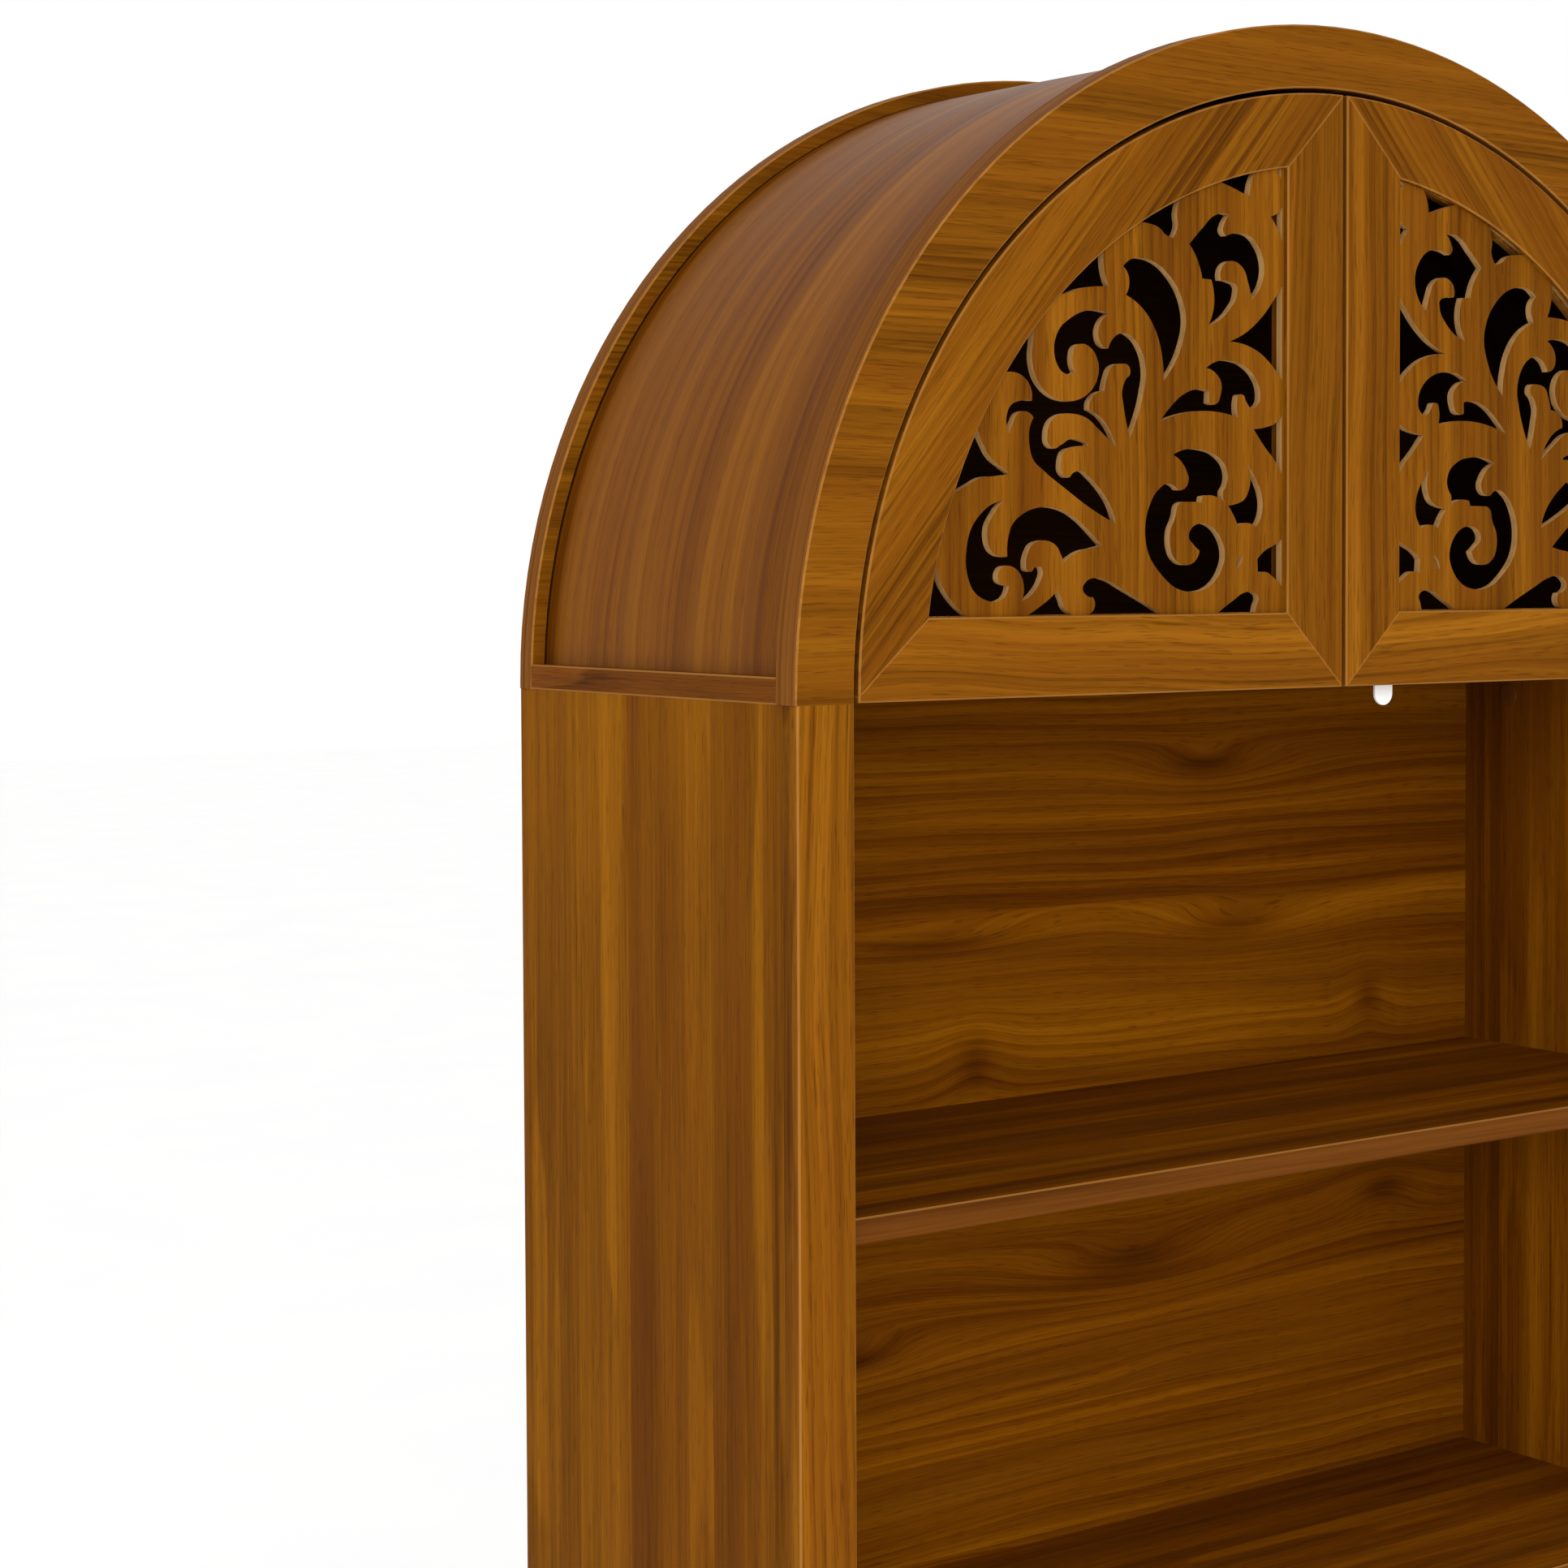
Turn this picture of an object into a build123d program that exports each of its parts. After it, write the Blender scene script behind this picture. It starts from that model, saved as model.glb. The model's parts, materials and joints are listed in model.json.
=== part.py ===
"""Arch-topped cabinet with fretwork doors over open shelf bays, built as an assembly of its real pieces.

Millimetres. X runs to the right, Y to the back and Z up; the origin is on the floor under the cabinet's centre.
Each piece is a part of its own, written to parts/ under its node name.
"""
import os
from math import atan2, degrees, sqrt

from build123d import *

os.makedirs("parts", exist_ok=True)

# Overall sizes
WIDTH = 800
DEPTH = 310
HEIGHT = 1700

# Boards
BOARD = 15                        # faced board of the sides, shelves, stiles and back arch
BACK_SHEET = 3                    # thin back panels
GLIDE = 3                         # height of the floor glides
FIT = 0.2                         # clearance between a tongue or panel and its groove

# Dome
ARCH_RADIUS = WIDTH / 2
ARCH_RING = 38                    # width of the front arch, seen from the front
DOOR = 18                         # thickness of the doors
BUMPER = 2                        # space between the doors and the dome floor
ARCH_THICK = DOOR + BUMPER
ARCH_FOOT = 4                     # straight part below the half circle
SPRING_Z = HEIGHT - ARCH_RADIUS   # height of the arch's centre
JOINT_Z = SPRING_Z - ARCH_FOOT    # where the dome stands on the carcass
ARCH_INNER = ARCH_RADIUS - ARCH_RING
SKIN_INSET = 9                    # the bent skin lies this far inside the arches
SKIN = 5
TONGUE = 5                        # depth of grooves for the skin and the back panels

# Carcass
SIDE_INSET = 1                    # the carcass is this much narrower than the dome on each side
SIDE_X = WIDTH / 2 - SIDE_INSET
INSIDE_X = SIDE_X - BOARD
FLOOR_TOP = JOINT_Z + BOARD
PLINTH = 68                       # height of the plinth under the bottom panel
TOP_BAY = 286                     # from the upper shelf's top to the dome
BOTTOM_TOP = PLINTH + BOARD
PITCH = (JOINT_Z - TOP_BAY - BOTTOM_TOP) / 3
SHELF_TOPS = [JOINT_Z - TOP_BAY, JOINT_Z - TOP_BAY - PITCH, JOINT_Z - TOP_BAY - 2 * PITCH]
FRONT = -DEPTH / 2
BACK = DEPTH / 2
BACK_RECESS = 26                  # space behind the back panels
BACK_SHEET_Y = BACK - BACK_RECESS - BACK_SHEET

# Doors
DOOR_GAP = 3                      # around the doors and between them
DOOR_LIFT = 0.5                   # under the doors
DOOR_Z = JOINT_Z + DOOR_LIFT
DOOR_RADIUS = ARCH_INNER - DOOR_GAP
MEET = DOOR_GAP / 2
CENTRE_Z = SPRING_Z - DOOR_Z      # height of the arch's centre above the door's bottom edge
RAIL = 46                         # height of the bottom rail
MEETING_STILE = 45.5              # width of the stile where the doors meet
CURVED_RAIL = 44                  # width of the curved rail
STILE_INNER = MEET + MEETING_STILE
RAIL_INNER = DOOR_RADIUS - CURVED_RAIL
LIP = 4                           # wood in front of the fretwork panel
REBATE = 6                        # how far the panel reaches behind the frame
PANEL = 5
BEAD = 6
EASE = 1                          # eased edges of boards and frames

# Door hinges
PIN_INSET = 14                    # from the arch's inner edge to the hinge axis
PIN_X = ARCH_INNER + PIN_INSET    # distance of the hinge axis from the middle
PIN_DEPTH = DOOR / 2              # hinge axis behind the front face
PIN = 1.25                        # radius
EYE = 3.2                         # radius
PIN_FIT = 0.05
ARM = 3                           # thickness of the hinge arms
ARM_TALL = 8
ARM_CLEARANCE = 2                 # from the dome floor to the lower arm
ARM_STEP = 27                     # between the two arms
LOW_ARM = BOARD + ARM_CLEARANCE + ARM_TALL / 2
ARM_HEIGHTS = [LOW_ARM, LOW_ARM + ARM_STEP]
LUG = 2                           # thickness of a bracket's lugs
LUG_GAP = 0.3
BRACKET_WALL = 1.5
BRACKET_DEEP = 8                  # from the pin to the bracket's rear
PIN_Y = FRONT + PIN_DEPTH
BRACKET_X = PIN_X + EYE + LUG_GAP + BRACKET_WALL
BRACKET_REACH = ARM_TALL / 2 + LUG_GAP + LUG

# Fasteners: those out of sight are drawn with few sides
PEG_SIDES = 8
CAM_SIDES = 12
DOWEL = 3                         # radius
DOWEL_LENGTH = 24
FACE_BORE = 9                     # depth of a dowel or bolt in a board's face
BOLT = 3                          # radius
BOLT_FIT = 0.1
BOLT_HEAD = 2                     # how far a bolt passes its cam's centre
CAM = 7.4                         # radius of the cams under the dome
CAM_DEEP = BOARD - 3
CAM_CENTRE_Z = JOINT_Z - 22.5
CAM_CAP = 8.8                     # radius of the caps over these cams
CAM_CAP_THICK = 1.2
FLOOR_BOLT_LONG = 35
SHELF_CAM = 6                     # radius of the cams in the shelves
SHELF_CAM_DEEP = BOARD - 4
SHELF_CAM_INSET = 24              # from the side panel to the cam's centre
SHELF_BOLT_LONG = SHELF_CAM_INSET - BOLT_HEAD + FACE_BORE
ARCH_DOWEL_INSET = 8              # from the edges of the stile
STILE_DOWEL_LOW = 150             # height of the lowest of four
STILE_DOWEL_DROP = 56             # from the dome to the highest of four
FLOOR_DOWEL_INSET = 84            # from the side panel
FRONT_CAM_INSET = 60              # from the cabinet's front
BACK_CAM_INSET = 45               # from the back panels
FRONT_GLIDE_INSET = 45
BACK_GLIDE_INSET = 25


def facing(depth):
    """A sketch plane seen from the front, at a depth behind the front face; extrusions run forward from it."""
    return Plane.XZ.offset(-(FRONT + depth))


def level(height):
    """A sketch plane seen from above, at a height over the floor; extrusions run upward from it."""
    return Plane.XY.offset(height)


def arch_face(radius, mode=Mode.ADD):
    """A half disc standing on the short straight feet of the arch."""
    with BuildLine() as outline:
        Line((-radius, SPRING_Z), (-radius, JOINT_Z))
        Line((-radius, JOINT_Z), (radius, JOINT_Z))
        Line((radius, JOINT_Z), (radius, SPRING_Z))
        ThreePointArc((radius, SPRING_Z), (0, SPRING_Z + radius), (-radius, SPRING_Z))
    make_face(outline.edges(), mode=mode)


def skin_face(spare):
    """The bent skin's section over the dome floor, made thicker by spare on both sides."""
    outer = ARCH_RADIUS - SKIN_INSET + spare
    with Locations((0, SPRING_Z)):
        Circle(outer)
        Circle(outer - SKIN - 2 * spare, mode=Mode.SUBTRACT)
    with Locations((0, FLOOR_TOP - spare)):
        Rectangle(2 * outer, 2 * outer, align=(Align.CENTER, Align.MAX), mode=Mode.SUBTRACT)


def block(x, y, z, mode=Mode.ADD):
    """A block given by its two limits along each axis."""
    with Locations(((x[0] + x[1]) / 2, (y[0] + y[1]) / 2, (z[0] + z[1]) / 2)):
        Box(abs(x[1] - x[0]), y[1] - y[0], z[1] - z[0], mode=mode)


DIRECTIONS = {"+X": (1, 0, 0), "-X": (-1, 0, 0), "+Y": (0, 1, 0), "+Z": (0, 0, 1)}


def rod(start, axis, length, radius, mode=Mode.ADD):
    """A round rod, or the hole for one, from its start point along +X, -X, +Y or +Z."""
    with BuildSketch(Plane(origin=start, z_dir=DIRECTIONS[axis])) as section:
        Circle(radius)
    extrude(section.sketch, amount=length, mode=mode)


def peg(start, axis, length, radius, sides=PEG_SIDES, mode=Mode.ADD):
    """A peg with a few flat sides, or the hole for one, from its start point."""
    with BuildSketch(Plane(origin=start, z_dir=DIRECTIONS[axis])) as section:
        RegularPolygon(radius, sides)
    extrude(section.sketch, amount=length, mode=mode)


def outward(side):
    """The direction away from the cabinet's middle, for the left side, -1, or the right side, 1."""
    return "+X" if side > 0 else "-X"


# Places of the fasteners: each is a start point, shared by the fastener and by its holes
SIDE_MIDDLE = SIDE_X - BOARD / 2
GROOVE_DEPTHS = (BACK_SHEET_Y - FIT / 2, BACK_SHEET_Y + BACK_SHEET + FIT / 2)
STILE_DOWEL_STEP = (JOINT_Z - STILE_DOWEL_DROP - STILE_DOWEL_LOW) / 3
FLOOR_DOWEL_X = INSIDE_X - FLOOR_DOWEL_INSET
FLOOR_DOWEL_Z = JOINT_Z + TONGUE + DOWEL + EASE
SHELF_DOWEL_X = INSIDE_X + FACE_BORE - DOWEL_LENGTH
SHELF_BOLT_X = INSIDE_X + FACE_BORE - SHELF_BOLT_LONG
CAM_PLACES = [FRONT + FRONT_CAM_INSET, BACK_SHEET_Y - BACK_CAM_INSET]
BOARD_TOPS = SHELF_TOPS + [BOTTOM_TOP]


def fastener_places(side):
    """Start points of one side's dowels and floor bolts, and the places of its glides."""
    arch_x = (ARCH_INNER + ARCH_DOWEL_INSET, SIDE_X - ARCH_DOWEL_INSET)
    arch_z = JOINT_Z - DOWEL_LENGTH / 2
    ring_x = ARCH_RADIUS - ARCH_RING / 2
    front_y = FRONT + ARCH_THICK - DOWEL_LENGTH / 2
    back_y = BACK - BOARD + FACE_BORE - DOWEL_LENGTH
    stile_y = FRONT + BOARD - FACE_BORE
    glide_y = (FRONT + FRONT_GLIDE_INSET, BACK - BACK_GLIDE_INSET)
    stile_z = [STILE_DOWEL_LOW + step * STILE_DOWEL_STEP for step in range(4)]
    return {
        "front arch": [(side * x, FRONT + BOARD / 2, arch_z) for x in arch_x],
        "back arch": [(side * SIDE_MIDDLE, BACK - BOARD / 2, arch_z)],
        "floor front": [(side * ring_x, front_y, FLOOR_DOWEL_Z)],
        "floor back": [(side * FLOOR_DOWEL_X * share, back_y, FLOOR_DOWEL_Z) for share in (1 / 3, 1)],
        "stile": [(side * SIDE_MIDDLE, stile_y, z) for z in stile_z],
        "floor bolts": [(side * SIDE_MIDDLE, y, CAM_CENTRE_Z - BOLT_HEAD) for y in CAM_PLACES],
        "glides": [(side * SIDE_MIDDLE, y, 0) for y in glide_y],
    }


PLACES = {side: fastener_places(side) for side in (-1, 1)}


def both(kind):
    """The start points of one kind of fastener on both sides."""
    return PLACES[-1][kind] + PLACES[1][kind]


# --- Carcass -------------------------------------------------------------------------------------

def side_panel(side):
    """A side panel: grooved for the back panels and bored for its fasteners."""
    inner = side * INSIDE_X
    outer = side * SIDE_X
    places = PLACES[side]
    with BuildPart() as panel:
        block((inner, outer), (FRONT + BOARD, BACK), (GLIDE, JOINT_Z))
        groove = side * (INSIDE_X + TONGUE)
        block((inner, groove), GROOVE_DEPTHS, (GLIDE, JOINT_Z), mode=Mode.SUBTRACT)
        for start in places["back arch"]:
            peg(start, "+Z", DOWEL_LENGTH, DOWEL, mode=Mode.SUBTRACT)
        for start in places["stile"]:
            peg(start, "+Y", DOWEL_LENGTH, DOWEL, mode=Mode.SUBTRACT)
        for start in places["floor bolts"]:
            peg(start, "+Z", FLOOR_BOLT_LONG, BOLT + BOLT_FIT, mode=Mode.SUBTRACT)
            peg((inner, start[1], CAM_CENTRE_Z), outward(side), CAM_DEEP + FIT, CAM + BOLT_FIT, CAM_SIDES,
                mode=Mode.SUBTRACT)
        for top in BOARD_TOPS:
            peg((inner, CAM_PLACES[0], top - BOARD / 2), outward(side), FACE_BORE, BOLT, mode=Mode.SUBTRACT)
            peg((inner, CAM_PLACES[1], top - BOARD / 2), outward(side), FACE_BORE, DOWEL, mode=Mode.SUBTRACT)
    return panel.part


def stile(side):
    """A face stile: it covers the side panel's front edge and reaches inward over the shelf ends."""
    with BuildPart() as board:
        block((side * ARCH_INNER, side * SIDE_X), (FRONT, FRONT + BOARD), (GLIDE, JOINT_Z))
        front_edges = board.faces().sort_by(Axis.Y)[0].edges().filter_by(Axis.Z)
        chamfer(front_edges, EASE)
        for start in PLACES[side]["front arch"]:
            peg(start, "+Z", DOWEL_LENGTH, DOWEL, mode=Mode.SUBTRACT)
        for start in PLACES[side]["stile"]:
            peg(start, "+Y", DOWEL_LENGTH, DOWEL, mode=Mode.SUBTRACT)
    return board.part


def shelf_board(top):
    """A shelf between the side panels, bored at its ends for a cam, its bolt and a dowel."""
    end = INSIDE_X - FIT
    with BuildPart() as board:
        block((-end, end), (FRONT + BOARD, BACK_SHEET_Y), (top - BOARD, top))
        front_edges = board.faces().sort_by(Axis.Y)[0].edges().filter_by(Axis.X)
        chamfer(front_edges, EASE)
        for side in (-1, 1):
            cam_x = side * (INSIDE_X - SHELF_CAM_INSET)
            bolt_start = (cam_x, CAM_PLACES[0], top - BOARD / 2)
            peg(bolt_start, outward(side), SHELF_CAM_INSET, BOLT + BOLT_FIT, mode=Mode.SUBTRACT)
            cam_start = (cam_x, CAM_PLACES[0], top - BOARD)
            peg(cam_start, "+Z", SHELF_CAM_DEEP + FIT, SHELF_CAM + BOLT_FIT, CAM_SIDES, mode=Mode.SUBTRACT)
            dowel_start = (side * SHELF_DOWEL_X, CAM_PLACES[1], top - BOARD / 2)
            peg(dowel_start, outward(side), DOWEL_LENGTH, DOWEL, mode=Mode.SUBTRACT)
    return board.part


with BuildPart() as left_side_panel:
    add(side_panel(-1))

with BuildPart() as right_side_panel:
    add(side_panel(1))

with BuildPart() as left_stile:
    add(stile(-1))

with BuildPart() as right_stile:
    add(stile(1))

with BuildPart() as upper_shelf:
    add(shelf_board(SHELF_TOPS[0]))

with BuildPart() as middle_shelf:
    add(shelf_board(SHELF_TOPS[1]))

with BuildPart() as lower_shelf:
    add(shelf_board(SHELF_TOPS[2]))

with BuildPart() as bottom_panel:
    add(shelf_board(BOTTOM_TOP))

# Plinth boards under the bottom panel
PLINTH_END = INSIDE_X - FIT

with BuildPart() as plinth_front:
    block((-PLINTH_END, PLINTH_END), (FRONT + BOARD, FRONT + 2 * BOARD), (GLIDE, PLINTH))

with BuildPart() as plinth_back:
    block((-PLINTH_END, PLINTH_END), (BACK_SHEET_Y - BOARD, BACK_SHEET_Y), (GLIDE, PLINTH))

# Two thin back panels meet behind the middle shelf
SHEET_EDGE = INSIDE_X + TONGUE - FIT
SHEET_SEAM = SHELF_TOPS[1] - BOARD / 2
SHEET_TUCK = 20                   # how far the lower panel runs down behind the plinth
SHEET_DEPTHS = (BACK_SHEET_Y, BACK_SHEET_Y + BACK_SHEET)

with BuildPart() as upper_back_panel:
    block((-SHEET_EDGE, SHEET_EDGE), SHEET_DEPTHS, (SHEET_SEAM + FIT, JOINT_Z + TONGUE - FIT))

with BuildPart() as lower_back_panel:
    block((-SHEET_EDGE, SHEET_EDGE), SHEET_DEPTHS, (PLINTH - SHEET_TUCK, SHEET_SEAM))

# --- Dome ----------------------------------------------------------------------------------------

with BuildPart() as dome_floor:
    block((-ARCH_RADIUS, ARCH_RADIUS), (FRONT + ARCH_THICK, BACK - BOARD), (JOINT_Z, FLOOR_TOP))
    end_edges = dome_floor.edges().filter_by(Axis.Y)
    chamfer(end_edges, EASE)
    groove_end = INSIDE_X + TONGUE
    block((-groove_end, groove_end), GROOVE_DEPTHS, (JOINT_Z, JOINT_Z + TONGUE), mode=Mode.SUBTRACT)
    for start in both("floor front") + both("floor back"):
        peg(start, "+Y", DOWEL_LENGTH, DOWEL, mode=Mode.SUBTRACT)
    for start in both("floor bolts"):
        peg(start, "+Z", FLOOR_BOLT_LONG, BOLT + BOLT_FIT, mode=Mode.SUBTRACT)

with BuildPart() as front_arch:
    with BuildSketch(facing(ARCH_THICK)):
        arch_face(ARCH_RADIUS)
        arch_face(ARCH_INNER, mode=Mode.SUBTRACT)
    extrude(amount=ARCH_THICK)
    rims = front_arch.faces().sort_by(Axis.Y)[0].edges()
    eased_rims = rims.filter_by(lambda edge: edge.center().Z > JOINT_Z + EASE)
    chamfer(eased_rims, EASE)
    # The skin's groove in the rear face
    with BuildSketch(facing(ARCH_THICK)):
        skin_face(FIT)
    extrude(amount=TONGUE + FIT, mode=Mode.SUBTRACT)
    for start in both("front arch"):
        peg(start, "+Z", DOWEL_LENGTH, DOWEL, mode=Mode.SUBTRACT)
    for start in both("floor front"):
        peg(start, "+Y", DOWEL_LENGTH, DOWEL, mode=Mode.SUBTRACT)
    # Pockets for the hinges, open to the rear and to the inner face
    for side in (-1, 1):
        for arm_z in ARM_HEIGHTS:
            pocket_x = (side * (DOOR_RADIUS - ARM_TALL), side * (BRACKET_X + FIT))
            pocket_z = (DOOR_Z + arm_z - BRACKET_REACH - FIT, DOOR_Z + arm_z + BRACKET_REACH + FIT)
            block(pocket_x, (PIN_Y - EYE - EASE, FRONT + ARCH_THICK), pocket_z, mode=Mode.SUBTRACT)

with BuildPart() as dome_back:
    with BuildSketch(facing(DEPTH)):
        arch_face(ARCH_RADIUS)
    extrude(amount=BOARD)
    rims = dome_back.faces().sort_by(Axis.Y)[-1].edges() + dome_back.faces().sort_by(Axis.Y)[0].edges()
    eased_rims = rims.filter_by(lambda edge: edge.center().Z > JOINT_Z + EASE)
    chamfer(eased_rims, EASE)
    with BuildSketch(facing(DEPTH - BOARD + TONGUE + FIT)):
        skin_face(FIT)
    extrude(amount=TONGUE + FIT, mode=Mode.SUBTRACT)
    for start in both("back arch"):
        peg(start, "+Z", DOWEL_LENGTH, DOWEL, mode=Mode.SUBTRACT)
    for start in both("floor back"):
        peg(start, "+Y", DOWEL_LENGTH, DOWEL, mode=Mode.SUBTRACT)

# The skin is two bent sheets that meet at the crown
with BuildPart() as left_vault_skin:
    with BuildSketch(facing(DEPTH - BOARD + TONGUE)):
        skin_face(0)
    extrude(amount=DEPTH - BOARD - ARCH_THICK + 2 * TONGUE)
    split(bisect_by=Plane.YZ, keep=Keep.BOTTOM)

with BuildPart() as right_vault_skin:
    mirror(left_vault_skin.part, about=Plane.YZ)

# --- Fasteners of the carcass --------------------------------------------------------------------

with BuildPart() as arch_dowels:
    for start in both("front arch") + both("back arch"):
        peg(start, "+Z", DOWEL_LENGTH, DOWEL)

with BuildPart() as floor_dowels:
    for start in both("floor front") + both("floor back"):
        peg(start, "+Y", DOWEL_LENGTH, DOWEL)

with BuildPart() as stile_dowels:
    for start in both("stile"):
        peg(start, "+Y", DOWEL_LENGTH, DOWEL)

with BuildPart() as floor_bolts:
    for start in both("floor bolts"):
        peg(start, "+Z", FLOOR_BOLT_LONG, BOLT)

with BuildPart() as floor_cams:
    for side in (-1, 1):
        for x, y, z in PLACES[side]["floor bolts"]:
            peg((side * (INSIDE_X + FIT), y, CAM_CENTRE_Z), outward(side), CAM_DEEP, CAM, CAM_SIDES)
            peg((x, y, z - BOLT_FIT), "+Z", 2 * CAM, BOLT + BOLT_FIT, mode=Mode.SUBTRACT)

with BuildPart() as cam_caps:
    for side in (-1, 1):
        for x, y, z in PLACES[side]["floor bolts"]:
            rod((side * INSIDE_X, y, CAM_CENTRE_Z), outward(-side), CAM_CAP_THICK, CAM_CAP)

with BuildPart() as shelf_bolts:
    for top in BOARD_TOPS:
        for side in (-1, 1):
            peg((side * SHELF_BOLT_X, CAM_PLACES[0], top - BOARD / 2), outward(side), SHELF_BOLT_LONG, BOLT)

with BuildPart() as shelf_cams:
    for top in BOARD_TOPS:
        for side in (-1, 1):
            cam_start = (side * (INSIDE_X - SHELF_CAM_INSET), CAM_PLACES[0], top - BOARD)
            peg(cam_start, "+Z", SHELF_CAM_DEEP, SHELF_CAM, CAM_SIDES)
            bore_start = (side * (SHELF_BOLT_X - BOLT_FIT), CAM_PLACES[0], top - BOARD / 2)
            peg(bore_start, outward(side), 2 * SHELF_CAM, BOLT + BOLT_FIT, mode=Mode.SUBTRACT)

with BuildPart() as shelf_dowels:
    for top in BOARD_TOPS:
        for side in (-1, 1):
            peg((side * SHELF_DOWEL_X, CAM_PLACES[1], top - BOARD / 2), outward(side), DOWEL_LENGTH, DOWEL)

with BuildPart() as floor_glides:
    for start in both("glides"):
        rod(start, "+Z", GLIDE, BOARD / 2 - EASE)

# --- Door hinges ---------------------------------------------------------------------------------

with BuildPart() as hinge_brackets:
    for side in (-1, 1):
        for arm_z in ARM_HEIGHTS:
            low = DOOR_Z + arm_z - BRACKET_REACH
            high = DOOR_Z + arm_z + BRACKET_REACH
            block((side * (PIN_X - EYE), side * BRACKET_X), (PIN_Y - EYE, PIN_Y + BRACKET_DEEP), (low, high))
            block((side * (PIN_X - 2 * EYE), side * (BRACKET_X - BRACKET_WALL)),
                  (PIN_Y - 2 * EYE, PIN_Y + BRACKET_DEEP + EYE), (low + LUG, high - LUG), mode=Mode.SUBTRACT)
            rod((side * PIN_X, PIN_Y, low), "+Z", 2 * BRACKET_REACH, PIN, mode=Mode.SUBTRACT)

with BuildPart() as hinge_pins:
    for side in (-1, 1):
        for arm_z in ARM_HEIGHTS:
            rod((side * PIN_X, PIN_Y, DOOR_Z + arm_z - BRACKET_REACH), "+Z", 2 * BRACKET_REACH, PIN)

# The arm's centre line, in steps inward from the pin and back from it
BEHIND_ARCH = ARCH_THICK - PIN_DEPTH
PAD_BACK = DOOR - PIN_DEPTH + ARM / 2
PAD_INSET = 5                     # from the door's edge
PAD_START = PIN_X - DOOR_RADIUS + PAD_INSET
PAD_LONG = 24
NECK = 10.5                       # how far the neck stands behind the arch
GOOSENECK = [(0, 0), (0, BEHIND_ARCH + NECK / 2), (4, BEHIND_ARCH + NECK - 1),
             (PIN_X - ARCH_INNER, BEHIND_ARCH + NECK), (PAD_START, PAD_BACK), (PAD_START + PAD_LONG, PAD_BACK)]

with BuildPart() as left_hinge_arms:
    for arm_z in ARM_HEIGHTS:
        with BuildSketch(level(DOOR_Z + arm_z - ARM_TALL / 2)):
            for start, end in zip(GOOSENECK[:-1], GOOSENECK[1:]):
                with BuildLine():
                    Line((start[0] - PIN_X, start[1] + PIN_Y), (end[0] - PIN_X, end[1] + PIN_Y))
                    offset(amount=ARM / 2)
                make_face()
            with Locations((-PIN_X, PIN_Y)):
                Circle(EYE)
                Circle(PIN + PIN_FIT, mode=Mode.SUBTRACT)
            # The pad lies flat against the door
            with Locations((-PIN_X + PAD_START + PAD_LONG / 2, PIN_Y + DOOR - PIN_DEPTH)):
                Rectangle(2 * PAD_LONG, 2 * ARM, align=(Align.CENTER, Align.MAX), mode=Mode.SUBTRACT)
        extrude(amount=ARM_TALL)

# --- Left door frame -----------------------------------------------------------------------------
# Heights in these outlines are above the door's bottom edge.

OUTER_FOOT = (-DOOR_RADIUS, CENTRE_Z)
OUTER_MITRE = (-sqrt(RAIL_INNER**2 - (RAIL - CENTRE_Z) ** 2), RAIL)
LOWER_MITRE = (-STILE_INNER, RAIL)
LOWER_CORNER = (-MEET, 0)
UPPER_MITRE = (-STILE_INNER, CENTRE_Z + sqrt(RAIL_INNER**2 - STILE_INNER**2))
UPPER_CORNER = (-MEET, CENTRE_Z + sqrt(DOOR_RADIUS**2 - MEET**2))


def door_plane(depth):
    """A sketch plane seen from the front whose heights start at the door's bottom edge."""
    return Plane(origin=(0, FRONT + depth, DOOR_Z), x_dir=(1, 0, 0), z_dir=(0, -1, 0))


def on_circle(radius, angle_share):
    """A point on the door's curve; the share runs from 0 at the spring line to 1 at the crown."""
    turn = Vector(-radius, 0).rotate(Axis.Z, -90 * angle_share)
    return (turn.X, turn.Y + CENTRE_Z)


def panel_face(border, mode=Mode.ADD):
    """The door's opening inside its frame, made larger by a border all round."""
    low = RAIL - border
    inner = STILE_INNER - border
    radius = RAIL_INNER + border
    foot = (-sqrt(radius**2 - (low - CENTRE_Z) ** 2), low)
    head = (-inner, CENTRE_Z + sqrt(radius**2 - inner**2))
    with BuildLine() as outline:
        Line(foot, (-inner, low))
        Line((-inner, low), head)
        ThreePointArc(head, on_circle(radius, 0.5), foot)
    make_face(outline.edges(), mode=mode)


def cut_rebate():
    """Cuts the panel's rebate from the back of a frame piece."""
    with BuildSketch(door_plane(DOOR)) as rebate:
        panel_face(REBATE)
    extrude(rebate.sketch, amount=DOOR - LIP, mode=Mode.SUBTRACT)


# Mitres from their inner to their outer end, and the keys that lock them
MITRES = [(OUTER_MITRE, OUTER_FOOT), (LOWER_MITRE, LOWER_CORNER), (UPPER_MITRE, UPPER_CORNER)]
KEY_LONG = 18                     # across the mitre
KEY_WIDE = 14
KEY_THICK = 3
KEY_DEPTH = 13


def mitre_turn(inner, outer):
    """The direction of a mitre, in degrees."""
    return degrees(atan2(outer[1] - inner[1], outer[0] - inner[0]))


def mitre_keys(spare, mode=Mode.ADD):
    """The three keys, or the slots cut for them."""
    with BuildSketch(door_plane(KEY_DEPTH)) as keys:
        for inner, outer in MITRES:
            with Locations(((inner[0] + outer[0]) / 2, (inner[1] + outer[1]) / 2)):
                Rectangle(KEY_WIDE + spare, KEY_LONG + spare, rotation=mitre_turn(inner, outer))
    extrude(keys.sketch, amount=KEY_THICK, mode=mode)


def free_front_edges(part):
    """The edges around a frame piece's front face, without those at its mitres."""
    front = part.faces().sort_by(Axis.Y)[0]
    return front.edges().filter_by(lambda edge: not is_mitre(edge))


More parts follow.
